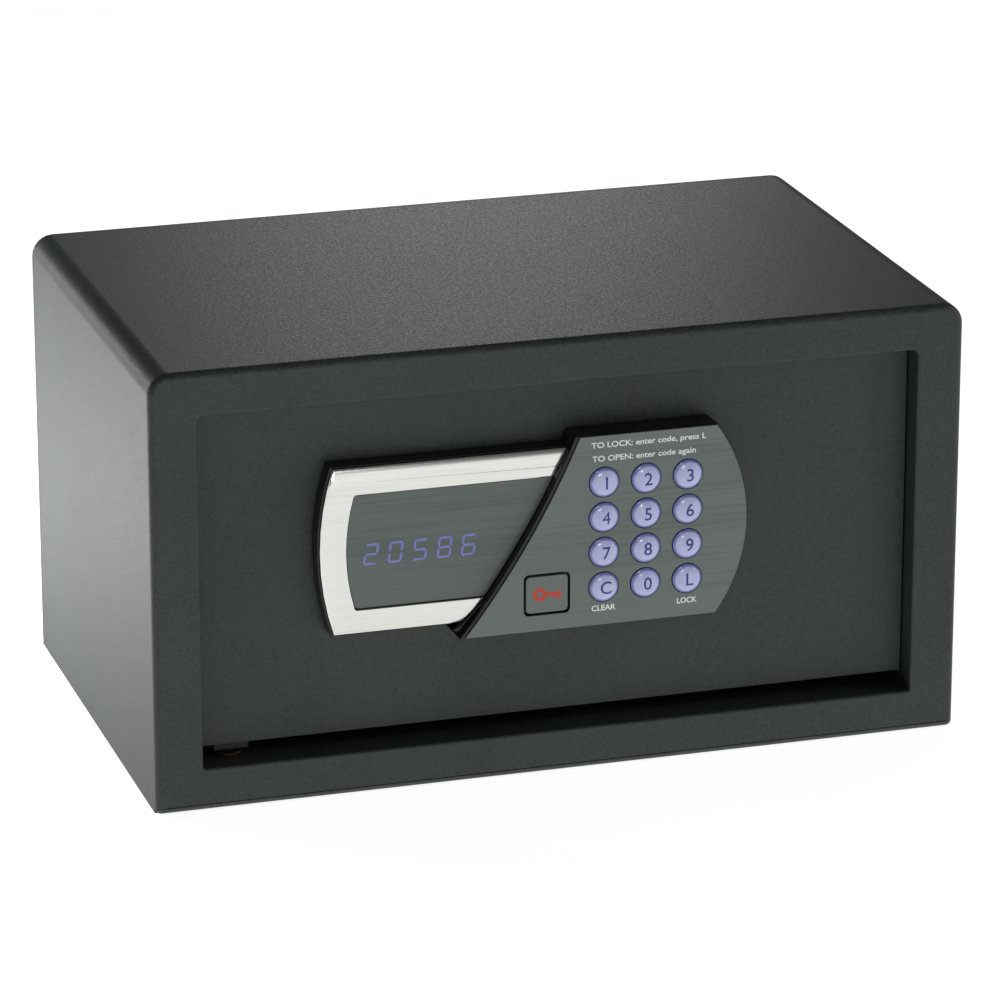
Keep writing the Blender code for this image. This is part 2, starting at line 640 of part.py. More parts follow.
def make_chrome_bezel():
    thickness = BEZEL_PROUD - BASE_PROUD - GAP
    bezel = plate("chrome_bezel", [bezel_outline()], Y_DOOR - BEZEL_PROUD, thickness)
    round_edges(bezel, lambda middle: middle.y < Y_DOOR - BEZEL_PROUD + GAP, BEZEL_CHAMFER, 1)
    return finish(bezel, CHROME)


def make_display_window():
    thickness = WINDOW_PROUD - BASE_PROUD - GAP
    return finish(plate("display_window", [window_outline()], Y_DOOR - WINDOW_PROUD, thickness), SMOKED)


DISPLAY_LOW = Vector((-101.5 * MM, Y_DOOR - 8.6 * MM, 110 * MM))
DISPLAY_HIGH = Vector((-41 * MM, Y_DOOR - 3.4 * MM, 128 * MM))


def make_display_module():
    """The display's circuit board with its block of luminous digits."""
    side, ends, board_sheet = 4 * MM, 7 * MM, 1.6 * MM
    board_back = Y_DOOR - 2 * MM
    board_low = (DISPLAY_LOW.x - side, board_back - board_sheet, DISPLAY_LOW.z - ends)
    board_high = (DISPLAY_HIGH.x + side, board_back, DISPLAY_HIGH.z + ends)
    module = block("display_module", board_low, board_high)
    join(module, block("display_digits", DISPLAY_LOW, DISPLAY_HIGH, CUTTERS))
    return finish(module, CIRCUIT)


def make_keypad_fascia():
    """The printed grey face, pierced for the keys and the badge."""
    holes = [circle(x, z, KEY_HOLE, 16) for x in KEY_COLUMNS for z in KEY_ROWS]
    outlines = [keypad_outline(), badge_outline(BADGE_MARGIN)] + holes
    thickness = FASCIA_PROUD - PAD_PROUD - GAP
    return finish(plate("keypad_fascia", outlines, Y_DOOR - FASCIA_PROUD, thickness), GREY_FACE)


def make_keypad_board():
    """Circuit board with a snap dome under every key."""
    border, board_sheet, dome_tall, dome_radius = 11 * MM, 1.6 * MM, 0.5 * MM, 3.2 * MM
    back = Y_DOOR - 5 * MM
    low = (KEY_COLUMNS[0] - border, back - board_sheet, KEY_ROWS[-1] - border)
    high = (KEY_COLUMNS[-1] + border, back, KEY_ROWS[0] + border)
    dome_front = low[1] - dome_tall
    board = block("keypad_board", low, high)
    for column in KEY_COLUMNS:
        for row in KEY_ROWS:
            join(board, rod("snap_dome", (column, dome_front, row), "Y", 2 * dome_tall, dome_radius, 10, CUTTERS))
    return finish(board, CIRCUIT)


def make_keys():
    """Twelve domed keys, each with a flange that stops it under the housing and a stem on its dome."""
    crown = KEY_PROUD - FASCIA_PROUD
    flange = PAD_PROUD - HOUSING_WALL - GAP - FASCIA_PROUD
    flange_radius, flange_sheet = 8.2 * MM, 1.2 * MM
    stem_radius, stem_end = 3 * MM, 8.3 * MM - FASCIA_PROUD
    profile = (
        (0, crown), (0.5 * KEY_RADIUS, crown - 0.3 * MM), (0.82 * KEY_RADIUS, crown - 0.95 * MM),
        (KEY_RADIUS, crown - 2.0 * MM), (KEY_RADIUS, flange),
        (flange_radius, flange), (flange_radius, flange - flange_sheet), (stem_radius, flange - flange_sheet),
        (stem_radius, stem_end), (0, stem_end),
    )
    for row, names in zip(KEY_ROWS, KEY_NAMES):
        for column, name in zip(KEY_COLUMNS, names):
            origin = (column, Y_DOOR - FASCIA_PROUD, row)
            finish(turned("key_" + name, origin, profile, 16, FORWARD), KEY_PLASTIC)


def make_badge_cover():
    """The push-in cap that hides the emergency key cylinder."""
    badge = plate("badge_cover", [badge_outline(0)], Y_DOOR - FASCIA_PROUD, BADGE_SHEET)
    round_edges(badge, lambda middle: middle.y < Y_DOOR - FASCIA_PROUD + GAP, BADGE_CHAMFER, 1)
    return finish(badge, GREY_FACE)


# ---------------------------------------------------------------- emergency key cylinder
CYLINDER_FRONT = Y_DOOR - 12.8 * MM
PLUG_RADIUS = 6 * MM
PLUG_INSET = 0.4 * MM                # plug's face behind the barrel's
KEYWAY_HALF = Vector((0.8 * MM, 0, 4 * MM))
KEYWAY_DEPTH = 12 * MM
CAM_FRONT = Y_DOOR + CARRIAGE_BEHIND
CAM_LENGTH = 24 * MM
CAM_HALF = 4 * MM


def make_override_cylinder():
    """The fixed barrel of the emergency lock, through the housing and the door."""
    length = Y_DOOR + 7.6 * MM - CYLINDER_FRONT
    nut_thick, nut_radius = 2.5 * MM, 11 * MM
    barrel = rod("override_cylinder", (BADGE_X, CYLINDER_FRONT, BADGE_Z), "Y", length, BARREL_RADIUS, 24)
    ring_start = (BADGE_X, Y_PLATE_BACK + GAP, BADGE_Z)
    join(barrel, rod("barrel_nut", ring_start, "Y", nut_thick, nut_radius, 6, CUTTERS))
    bore_start = (BADGE_X, CYLINDER_FRONT - MM, BADGE_Z)
    cut(barrel, rod("barrel_bore", bore_start, "Y", length + 2 * MM, PLUG_RADIUS + 0.35 * MM, 24, CUTTERS))
    return finish(barrel, STEEL)


def make_override_plug():
    """The turning plug with its keyway."""
    front = CYLINDER_FRONT + PLUG_INSET
    plug = rod("override_plug", (BADGE_X, front, BADGE_Z), "Y", CAM_FRONT - GAP - front, PLUG_RADIUS, 24)
    keyway_low = Vector((BADGE_X, front - MM, BADGE_Z)) - KEYWAY_HALF
    keyway_high = Vector((BADGE_X, front + KEYWAY_DEPTH, BADGE_Z)) + KEYWAY_HALF
    cut(plug, block("keyway_cutter", keyway_low, keyway_high, CUTTERS))
    return finish(plug, BRASS)


def make_override_cam():
    """The cam on the plug's tail: it points up at rest and sweeps left to draw the bolts back."""
    hub = circle(BADGE_X, BADGE_Z, PLUG_RADIUS + 0.5 * MM, 24)
    cam = plate("override_cam", [hub], CAM_FRONT, CARRIAGE_SHEET)
    tip = BADGE_Z + CAM_LENGTH
    lobe = rounded(BADGE_X - CAM_HALF, BADGE_Z, BADGE_X + CAM_HALF, tip, (0, 0, 3 * MM, 3 * MM), 3)
    join(cam, plate("cam_lobe", [lobe], CAM_FRONT, CARRIAGE_SHEET, CUTTERS))
    return finish(cam, STEEL)


# ---------------------------------------------------------------- bolt work
CARRIAGE_LEFT = BADGE_X - 36 * MM
CARRIAGE_RIGHT = 110 * MM
CARRIAGE_LOW = 74 * MM
STUD_PLACES = ((62 * MM, 95 * MM), (62 * MM, 115 * MM))
STUD_RADIUS = 2.4 * MM
STUD_HEAD = 4.2 * MM


def rack_profile(first, count):
    """Top edge of the carriage from left to right: straight-sided teeth that face up."""
    pitch = math.pi * TOOTH_MODULE
    half = pitch / 4 - BACKLASH / 4
    tip_z = RACK_PITCH_Z + TOOTH_TIP
    root_z = RACK_PITCH_Z - TOOTH_ROOT
    tip_half = half - TOOTH_TIP * math.tan(PRESSURE_ANGLE)
    root_half = half + TOOTH_ROOT * math.tan(PRESSURE_ANGLE)
    points = []
    for tooth in range(count):
        middle = first + tooth * pitch
        points += [(middle - root_half, root_z), (middle - tip_half, tip_z),
                   (middle + tip_half, tip_z), (middle + root_half, root_z)]
    return points


def make_bolt_carriage():
    """The sliding plate: a rack along its top, a window for the cam, slots for the studs."""
    pitch = math.pi * TOOTH_MODULE
    first = PINION_X - 7 * pitch
    column_left = 84 * MM
    top = BOLT_HEIGHTS[1] + 12 * MM
    root_z = RACK_PITCH_Z - TOOTH_ROOT
    teeth = rack_profile(first, 10)
    outline = [(CARRIAGE_RIGHT, CARRIAGE_LOW), (CARRIAGE_RIGHT, top), (column_left, top), (column_left, root_z)]
    outline += reversed(teeth)
    outline += [(CARRIAGE_LEFT, root_z), (CARRIAGE_LEFT, CARRIAGE_LOW)]
    window = rounded(BADGE_X - CAM_LENGTH - 0.6 * MM, BADGE_Z - 9 * MM, BADGE_X + 11 * MM,
                     BADGE_Z + CAM_LENGTH + 2 * MM, (2 * MM,) * 4, 3)
    slots = []
    for x, z in STUD_PLACES:
        end = STUD_RADIUS + 0.8 * MM
        half = STUD_RADIUS + 0.4 * MM
        slots.append(rounded(x - BOLT_THROW - end, z - half, x + end, z + half, (half - 0.1 * MM,) * 4, 4))
    carriage = plate("bolt_carriage", [outline, window] + slots, Y_DOOR + CARRIAGE_BEHIND, CARRIAGE_SHEET)
    flange_low = (CARRIAGE_RIGHT - CARRIAGE_SHEET, Y_DOOR + CARRIAGE_BEHIND + MM, CARRIAGE_LOW)
    flange_high = (CARRIAGE_RIGHT, Y_DOOR + BOLT_BEHIND + BOLT_RADIUS, top)
    join(carriage, block("carriage_flange", flange_low, flange_high, CUTTERS))
    return finish(carriage, STEEL)


def make_bolts():
    """Two round bolts on the carriage's flange; retracted, their noses stay inside the door's edge."""
    inset, nose = 0.6 * MM, 1.5 * MM
    length = DOOR_RIGHT - inset - CARRIAGE_RIGHT - GAP
    profile = ((0, length), (BOLT_RADIUS - nose, length), (BOLT_RADIUS, length - nose), (BOLT_RADIUS, 0), (0, 0))
    for name, height in zip(("lower_bolt", "upper_bolt"), BOLT_HEIGHTS):
        origin = (CARRIAGE_RIGHT + GAP, Y_DOOR + BOLT_BEHIND, height)
        finish(turned(name, origin, profile, 24, RIGHTWARD), STEEL)


def make_bolt_guide():
    """An angle bracket by the door's edge that the bolts slide through."""
    left, web, foot, foot_sheet = 146 * MM, 3 * MM, 12 * MM, 2.5 * MM
    low_z = BOLT_HEIGHTS[0] - 2 * BOLT_RADIUS
    high_z = BOLT_HEIGHTS[1] + 2 * BOLT_RADIUS
    guide = block("bolt_guide", (left, Y_PLATE_BACK + GAP, low_z), (left + web, Y_DOOR + 30 * MM, high_z))
    foot_low = (left - foot, Y_PLATE_BACK + GAP, low_z)
    foot_high = (left + MM, Y_PLATE_BACK + GAP + foot_sheet, high_z)
    join(guide, block("guide_foot", foot_low, foot_high, CUTTERS))
    for height in BOLT_HEIGHTS:
        start = (left - 5 * MM, Y_DOOR + BOLT_BEHIND, height)
        cut(guide, rod("guide_hole", start, "X", 4 * web, BOLT_RADIUS + GUIDE_PLAY, 24, CUTTERS))
    return finish(guide, STEEL)


def make_guide_studs():
    """Headed studs on the door that the carriage's slots run on."""
    foot = Y_PLATE_BACK + GAP
    head = Y_DOOR + CARRIAGE_BEHIND + CARRIAGE_SHEET + GAP
    under, top = head - foot, head - foot + 1.6 * MM
    profile = ((0, top), (STUD_HEAD, top), (STUD_HEAD, under), (STUD_RADIUS, under), (STUD_RADIUS, 0), (0, 0))
    for number, (x, z) in enumerate(STUD_PLACES, 1):
        finish(turned(f"guide_stud_{number}", (x, foot, z), profile, 16, BACKWARD), STEEL)


def involute_angle(base, radius):
    """How far round the centre an involute of the base circle has turned where it reaches a radius."""
    roll = math.sqrt(max((radius / base) ** 2 - 1, 0))
    return roll - math.atan(roll)


def pinion_outline():
    """A spur gear's edge, standing so that a gap between two teeth faces straight down."""
    base = PINION_PITCH * math.cos(PRESSURE_ANGLE)
    tip = PINION_PITCH + TOOTH_TIP
    root = PINION_PITCH - TOOTH_ROOT
    half = math.pi / (2 * PINION_TEETH) - BACKLASH / 4 / PINION_PITCH
    flank_start = half + involute_angle(base, PINION_PITCH)
    radii = [base + (tip - base) * step / 4 for step in range(5)]
    outline = []
    for tooth in range(PINION_TEETH):
        middle = -math.pi / 2 + (tooth + 0.5) * 2 * math.pi / PINION_TEETH
        rising = [(root, middle - flank_start)]
        rising += [(radius, middle - flank_start + involute_angle(base, radius)) for radius in radii]
        falling = [(length, 2 * middle - angle) for length, angle in reversed(rising)]
        for length, angle in rising + falling:
            outline.append((PINION_X + length * math.cos(angle),
                            RACK_PITCH_Z + PINION_PITCH + length * math.sin(angle)))
    return outline


def make_motor_pinion():
    """The pinion, fast on the motor's output shaft."""
    pinion = plate("motor_pinion", [pinion_outline()], Y_DOOR + CARRIAGE_BEHIND - GAP, CARRIAGE_SHEET + 2 * GAP)
    start = (PINION_X, Y_DOOR + CARRIAGE_BEHIND + MM, RACK_PITCH_Z + PINION_PITCH)
    join(pinion, rod("output_shaft", start, "Y", 11 * MM, SHAFT_RADIUS, 16, CUTTERS))
    return finish(pinion, BRASS)


MOTOR_LOW = Vector((PINION_X - 9 * MM, Y_DOOR + 14.5 * MM, RACK_PITCH_Z - 6 * MM))
MOTOR_HIGH = Vector((PINION_X + 25 * MM, Y_DOOR + 31 * MM, RACK_PITCH_Z + 16 * MM))


def make_gear_motor():
    """The motor and its gearbox in one case, with a bore for the output shaft."""
    can_length, can_radius = 26 * MM, 7.5 * MM
    motor = block("gear_motor", MOTOR_LOW, MOTOR_HIGH)
    can = rod("motor_can", (MOTOR_HIGH.x - MM, (MOTOR_LOW.y + MOTOR_HIGH.y) / 2, RACK_PITCH_Z + 5 * MM), "X",
              can_length, can_radius, 20, CUTTERS)
    join(motor, can)
    start = (PINION_X, MOTOR_LOW.y - MM, RACK_PITCH_Z + PINION_PITCH)
    cut(motor, rod("shaft_bore", start, "Y", 9 * MM, SHAFT_RADIUS + 0.4 * MM, 16, CUTTERS))
    return finish(motor, STEEL)


def make_motor_bracket():
    """A folded bracket from the door, over the carriage, that carries the motor's case."""
    top = MOTOR_HIGH.z
    left, right, sheet = MOTOR_LOW.x + 2 * MM, MOTOR_HIGH.x - 2 * MM, 1.5 * MM
    foot_low = (left, Y_PLATE_BACK + GAP, top + GAP)
    foot_high = (right, Y_PLATE_BACK + GAP + sheet, top + 14 * MM)
    bracket = block("motor_bracket", foot_low, foot_high)
    shelf_high = (right, MOTOR_HIGH.y, top + GAP + sheet)
    join(bracket, block("bracket_shelf", foot_low, shelf_high, CUTTERS))
    return finish(bracket, STEEL)


def make_bolt_switch():
    """A microswitch that reports the bolts' position, with its roller lever towards the flange."""
    body_low = Vector((126.5 * MM, Y_DOOR + 9 * MM, 110 * MM))
    body_high = body_low + Vector((6.5 * MM, 12 * MM, 20 * MM))
    switch = block("bolt_switch", body_low, body_high)
    lever_low = body_low + Vector((-1.4 * MM, 4 * MM, 3 * MM))
    lever_high = lever_low + Vector((2 * MM, 3.5 * MM, 14 * MM))
    join(switch, block("switch_lever", lever_low, lever_high, CUTTERS))
    return finish(switch, BLACK_ABS)


# ---------------------------------------------------------------- electronics and batteries
BOARD_LOW = Vector((-133 * MM, Y_DOOR + 9 * MM, 108 * MM))
BOARD_HIGH = Vector((-66 * MM, Y_DOOR + 10.6 * MM, 176 * MM))


def make_control_board():
    """The lock's main circuit board with its larger parts."""
    board = block("control_board", BOARD_LOW, BOARD_HIGH)
    behind = BOARD_HIGH.y - 0.5 * MM
    parts = (
        ("controller_chip", -118, 150, 14, 14, 2.5),
        ("relay", -92, 156, 12, 16, 9),
        ("capacitor_block", -120, 124, 10, 10, 11),
        ("battery_plug", -84, 118, 12, 7, 7),
    )
    for name, x, z, width, height, tall in parts:
        low = (x * MM, behind, z * MM)
        high = ((x + width) * MM, behind + tall * MM, (z + height) * MM)
        join(board, block(name, low, high, CUTTERS))
    return finish(board, CIRCUIT)


def make_ribbon_cable():
    """Flat cable from the display board, back through the door and round to the control board."""
    thickness, width, bend = 0.9 * MM, 14 * MM, 2 * MM
    start_y = Y_DOOR - 1.7 * MM
    right = -55.5 * MM
    far_y = BOARD_LOW.y - 2.3 * MM
    end_x = BOARD_HIGH.x - 4 * MM
    middle_x = right - thickness - bend
    middle_y = far_y - thickness - bend
    turns = [math.radians(90 * step / 5) for step in range(6)]
    outer = [(middle_x + (bend + thickness) * math.cos(turn), middle_y + (bend + thickness) * math.sin(turn))
             for turn in turns]
    inner = [(middle_x + bend * math.cos(turn), middle_y + bend * math.sin(turn)) for turn in turns]
    outline = [(right, start_y), *outer, (end_x, far_y), (end_x, far_y - thickness), *reversed(inner)]
    outline.append((right - thickness, start_y))
    return finish(flat_piece("ribbon_cable", [outline], (0, 0, 114 * MM), UPWARD, width), RIBBON)


def make_battery_box():
    """A tray for four cells, open towards the hatch in the cover."""
    tray = block("battery_box", BATTERY_LOW, BATTERY_HIGH)
    wall = BATTERY_WALL
    hollow_low = BATTERY_LOW + Vector((wall, wall, wall))
    hollow_high = BATTERY_HIGH + Vector((-wall, wall, -wall))
    cut(tray, block("battery_hollow", hollow_low, hollow_high, CUTTERS))
    return finish(tray, BLACK_ABS)


def make_battery_cells():
    """Four AA cells, side by side and standing on end."""
    radius, length, pitch = 7.2 * MM, 50.3 * MM, 15.4 * MM
    pip_radius, pip, round_end = 2.6 * MM, 1.2 * MM, 0.5 * MM
    middle_x = (BATTERY_LOW.x + BATTERY_HIGH.x) / 2
    floor = BATTERY_LOW.y + BATTERY_WALL + GAP
    shoulder = length - pip
    foot = (BATTERY_LOW.z + BATTERY_HIGH.z - length) / 2
    profile = (
        (0, length), (pip_radius, length), (pip_radius, shoulder), (radius - round_end, shoulder),
        (radius, shoulder - 0.6 * MM), (radius, round_end), (radius - round_end, 0), (0, 0),
    )
    for number in range(4):
        x = middle_x + (number - 1.5) * pitch
        flip = number % 2 == 1
        origin = (x, floor + radius, foot + (length if flip else 0))
        finish(turned(f"battery_cell_{number + 1}", origin, profile, 20, DOWNWARD if flip else UPWARD), CELL_WRAP)


def make_battery_lid():
    """The hatch in the cover, hinged along its lower edge, with a finger ridge at the top."""
    inset = LID_MARGIN + LID_PLAY
    low = Vector((BATTERY_LOW.x + inset, COVER_HIGH.y - COVER_WALL, BATTERY_LOW.z + inset))
    high = Vector((BATTERY_HIGH.x - inset, COVER_HIGH.y, BATTERY_HIGH.z - inset))
    lid = block("battery_lid", low, high)
    ridge_inset, ridge_top, ridge_tall, ridge_proud = 20 * MM, 4 * MM, 3 * MM, 1.5 * MM
    ridge_low = (low.x + ridge_inset, high.y - 0.5 * MM, high.z - ridge_top - ridge_tall)
    ridge_high = (high.x - ridge_inset, high.y + ridge_proud, high.z - ridge_top)
    join(lid, block("lid_ridge", ridge_low, ridge_high, CUTTERS))
    return finish(lid, GREY_COVER)


# ---------------------------------------------------------------- build
make_casing_wrap()
make_front_frame()
make_door_jamb()
make_base_plate()
make_back_plate()
make_floor_mat()
make_hinge_bush("upper_hinge_bush", OPENING_TOP, UPWARD)
make_hinge_bush("lower_hinge_bush", OPENING_LOW, DOWNWARD)

make_door_plate()
make_hinge_pivot("upper_hinge_pivot", OPENING_TOP, UPWARD, 4 * MM)
make_hinge_pivot("lower_hinge_pivot", OPENING_LOW, DOWNWARD, 4 * MM)
make_inner_cover()
make_cover_screws()

make_lock_housing()
make_chrome_bezel()
make_display_window()
make_display_module()
make_keypad_fascia()
make_keypad_board()
make_keys()
make_badge_cover()

make_override_cylinder()
make_override_plug()
make_override_cam()

make_bolt_carriage()
make_bolts()
make_bolt_guide()
make_guide_studs()
make_motor_pinion()
make_gear_motor()
make_motor_bracket()
make_bolt_switch()

make_control_board()
make_ribbon_cable()
make_battery_box()
make_battery_cells()
make_battery_lid()
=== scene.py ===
"""Looks of the in-room safe.  Each section is one piece, or one set of like pieces, in building order."""

import math

import bmesh
import bpy
from mathutils import Matrix, Vector


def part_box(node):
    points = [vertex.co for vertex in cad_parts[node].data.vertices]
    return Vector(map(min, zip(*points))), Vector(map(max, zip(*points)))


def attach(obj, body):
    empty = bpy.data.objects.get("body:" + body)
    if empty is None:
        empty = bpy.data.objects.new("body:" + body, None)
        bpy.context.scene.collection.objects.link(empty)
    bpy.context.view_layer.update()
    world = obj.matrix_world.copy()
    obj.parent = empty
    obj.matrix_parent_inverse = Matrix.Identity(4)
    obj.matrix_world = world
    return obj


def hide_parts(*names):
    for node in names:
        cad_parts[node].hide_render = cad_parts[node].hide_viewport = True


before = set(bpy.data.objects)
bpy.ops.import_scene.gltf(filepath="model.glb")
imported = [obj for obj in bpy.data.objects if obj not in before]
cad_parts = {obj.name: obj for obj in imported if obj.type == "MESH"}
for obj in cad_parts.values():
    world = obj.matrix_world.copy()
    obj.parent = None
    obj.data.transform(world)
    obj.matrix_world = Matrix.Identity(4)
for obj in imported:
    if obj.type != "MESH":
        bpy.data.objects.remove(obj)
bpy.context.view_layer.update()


# ------------------------------------------------------------------ casing wrap
# The safe's top and sides are one sheet of 2 mm steel, folded round a 10.5 mm radius at both top edges
# and welded to the front frame.  All of the steelwork is powder coated black-green in one go.
mm = 0.001


def linear(colour):
    """A hex sRGB colour as linear RGBA."""
    shares = [int(colour[place:place + 2], 16) / 255 for place in (1, 3, 5)]
    return (*(s / 12.92 if s <= 0.04045 else ((s + 0.055) / 1.055) ** 2.4 for s in shares), 1.0)


def add_node(tree, kind, sockets=None, stops=(), **settings):
    """Add one node.  A socket takes a plain value, or a link from a socket or a node's first output."""
    node = tree.nodes.new(kind)
    for name, value in settings.items():
        setattr(node, name, value)
    for name, value in (sockets or {}).items():
        if isinstance(value, bpy.types.Node):
            value = value.outputs[0]
        if isinstance(value, bpy.types.NodeSocket):
            tree.links.new(value, node.inputs[name])
        else:
            node.inputs[name].default_value = value
    for element, (place, colour) in zip(node.color_ramp.elements if stops else (), stops):
        element.position, element.color = place, linear(colour)
    return node


def start_finish(name):
    """Start an empty material.  Returns it, its node tree, and the piece's own coordinates."""
    material = bpy.data.materials.new(name)
    material.use_nodes = True
    material.node_tree.nodes.clear()
    tree = material.node_tree
    return material, tree, add_node(tree, "ShaderNodeTexCoord").outputs["Object"]


# Polyester powder, baked on: a dull skin of fine pebbles.  Real ones are under 1 mm across, and these are
# drawn at 1.3 mm so that they show.  Their slopes break up the gloss, and their hollows carry painted
# shade.
powder_coat, tree, on_piece = start_finish("textured_powder_coat")
pebbles = add_node(tree, "ShaderNodeTexNoise", {"Vector": on_piece, "Scale": 1 / (1.3 * mm), "Detail": 3.0})
clouds = add_node(tree, "ShaderNodeTexNoise", {"Vector": on_piece, "Scale": 1 / (60 * mm), "Detail": 1.0})
# The coat's thickness varies the tone at random, and the pebbles paint shade into their own hollows.
thickness = add_node(tree, "ShaderNodeMath", {0: clouds, 1: 0.25, 2: pebbles}, operation="MULTIPLY_ADD")
tone = add_node(tree, "ShaderNodeValToRGB", {"Fac": thickness}, ((0.42, "#1e2524"), (0.83, "#37403d")))
dullness = add_node(tree, "ShaderNodeMapRange", {
    "Value": pebbles, "From Min": 0.3, "From Max": 0.7, "To Min": 0.44, "To Max": 0.58})
relief = add_node(tree, "ShaderNodeBump", {"Height": pebbles, "Strength": 0.35, "Distance": 0.25 * mm})
shader = add_node(tree, "ShaderNodeBsdfPrincipled", {
    "Base Color": tone, "Roughness": dullness, "Specular IOR Level": 0.42, "Normal": relief})
add_node(tree, "ShaderNodeOutputMaterial", {"Surface": shader})


def show(name, bm, finish, body, stands_for=(), sharp=35):
    """Turn a bmesh into a shown piece: smooth its soft edges, give it its finish and fix it to its body."""
    for face in bm.faces:
        face.smooth = len(face.verts) < 5
    for edge in bm.edges:
        edge.smooth = len(edge.link_faces) == 2 and edge.calc_face_angle() < math.radians(sharp)
    mesh = bpy.data.meshes.new(name)
    bm.to_mesh(mesh)
    bm.free()
    piece = bpy.data.objects.new(name, mesh)
    bpy.context.scene.collection.objects.link(piece)
    mesh.materials.append(finish)
    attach(piece, body)
    if stands_for:
        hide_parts(*stands_for)
    piece.modifiers.new("flat_faces_shade_flat", "WEIGHTED_NORMAL").keep_sharp = True
    return piece


def new_box(low, high):
    """A box from its low corner to its high corner."""
    bm = bmesh.new()
    bmesh.ops.create_cube(bm, size=1.0)
    bmesh.ops.scale(bm, vec=Vector(high) - Vector(low), verts=bm.verts)
    bmesh.ops.translate(bm, vec=(Vector(high) + Vector(low)) / 2, verts=bm.verts)
    return bm


def round_edges(bm, edges, radius, segments):
    """Round edges to a radius, in one go."""
    bmesh.ops.bevel(bm, geom=edges, offset=radius, segments=segments, affect="EDGES", profile=0.5,
                    material=-1)


def round_off(bm, radius, segments, chosen):
    """Round the edges whose two ends pass the test."""
    round_edges(bm, [e for e in bm.edges if chosen(e.verts[0].co, e.verts[1].co)], radius, segments)


def along(axis):
    """A test for edges that run along one axis."""
    return lambda a, b: (a - b).length - abs(a[axis] - b[axis]) < 1e-7


wrap_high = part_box("casing_wrap")[1]
case_half, case_top = wrap_high.x, wrap_high.z
fold_radius = 10.5 * mm
frame_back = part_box("front_frame")[1].y

wrap = new_box((-case_half, frame_back + 0.3 * mm, 0), (case_half, wrap_high.y, case_top))
along_y = along(1)
round_off(wrap, fold_radius, 16, lambda a, b: along_y(a, b) and a.z > case_top - mm)
open_faces = [face for face in wrap.faces if abs(face.normal.y) > 0.9 or face.normal.z < -0.9]
bmesh.ops.delete(wrap, geom=open_faces, context="FACES")
bmesh.ops.solidify(wrap, geom=wrap.faces[:], thickness=2 * mm)
show("folded_casing", wrap, powder_coat, "casing", ["casing_wrap"])


# ------------------------------------------------------------------ front frame
# A 4 mm plate laser-cut round the doorway.  Its outer and inner edges are linished round before coating,
# and its joint to the wrap is filled, so that the coat runs over it unbroken.
frame_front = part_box("front_frame")[0].y
doorway_half, doorway_low, doorway_top = 177 * mm, 21 * mm, 194.5 * mm


def carve(bm, *tools, operation="DIFFERENCE"):
    """Cut each tool's shape out of a bmesh, or join it on.  Returns the result, doubles merged."""
    for tool in tools:
        pair = []
        for name, shape in (("blank", bm), ("tool", tool)):
            mesh = bpy.data.meshes.new(name)
            bmesh.ops.recalc_face_normals(shape, faces=shape.faces[:])
            shape.to_mesh(mesh)
            shape.free()
            pair.append(bpy.data.objects.new(name, mesh))
            bpy.context.scene.collection.objects.link(pair[-1])
        modifier = pair[0].modifiers.new("carve", "BOOLEAN")
        modifier.object = pair[1]
        modifier.operation = operation
        modifier.solver = "EXACT"
        bm = bmesh.new()
        bm.from_object(pair[0], bpy.context.evaluated_depsgraph_get())
        bmesh.ops.remove_doubles(bm, verts=bm.verts, dist=0.001 * mm)
        for thing in pair:
            bpy.data.objects.remove(thing, do_unlink=True)
    return bm


def rounded_post(low, high, radius_low, radius_top, segments):
    """A box whose four edges along Y are rounded, the two lower ones and the two upper ones apart."""
    bm = new_box(low, high)
    middle = (low[2] + high[2]) / 2
    round_off(bm, radius_low, segments, lambda a, b: along_y(a, b) and a.z < middle)
    round_off(bm, radius_top, segments, lambda a, b: along_y(a, b) and a.z > middle)
    return bm


plate = rounded_post((-case_half, frame_front, 0), (case_half, frame_back + 0.3 * mm, case_top),
                     3 * mm, fold_radius, 16)
hole = rounded_post((-doorway_half, frame_front - 9 * mm, doorway_low),
                    (doorway_half, frame_back + 9 * mm, doorway_top), mm, 3 * mm, 6)
plate = carve(plate, hole)


def is_rim(edge):
    """True where two faces meet at a sharp edge."""
    return len(edge.link_faces) == 2 and edge.calc_face_angle() > math.radians(60)


def in_doorway(point):
    """True for a point on the doorway's edge or within it."""
    slack = 0.1 * mm
    return abs(point.x) < doorway_half + slack and doorway_low - slack < point.z < doorway_top + slack


for inside, radius, segments in ((False, 3.4 * mm, 8), (True, 1.2 * mm, 4)):
    rim = [e for e in plate.edges if is_rim(e) and in_doorway(e.verts[0].co) == inside
           and all(v.co.y < frame_front + 0.01 * mm for v in e.verts)]
    round_edges(plate, rim, radius, segments)
show("door_frame", plate, powder_coat, "casing", ["front_frame"])


# ------------------------------------------------------------------ reveal, floor and back wall
# Plain steel sheets behind the frame: a folded reveal with holes for the bolts, and a floor and a back that
# are laser-cut with two fixing holes each.  They are spot welded in and coated with the rest of the casing.
def paint(node, finish):
    """Give a CAD node that stays in view its finish."""
    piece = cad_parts[node]
    piece.data.materials.clear()
    piece.data.materials.append(finish)


for node in ("door_jamb", "base_plate", "back_plate"):
    paint(node, powder_coat)


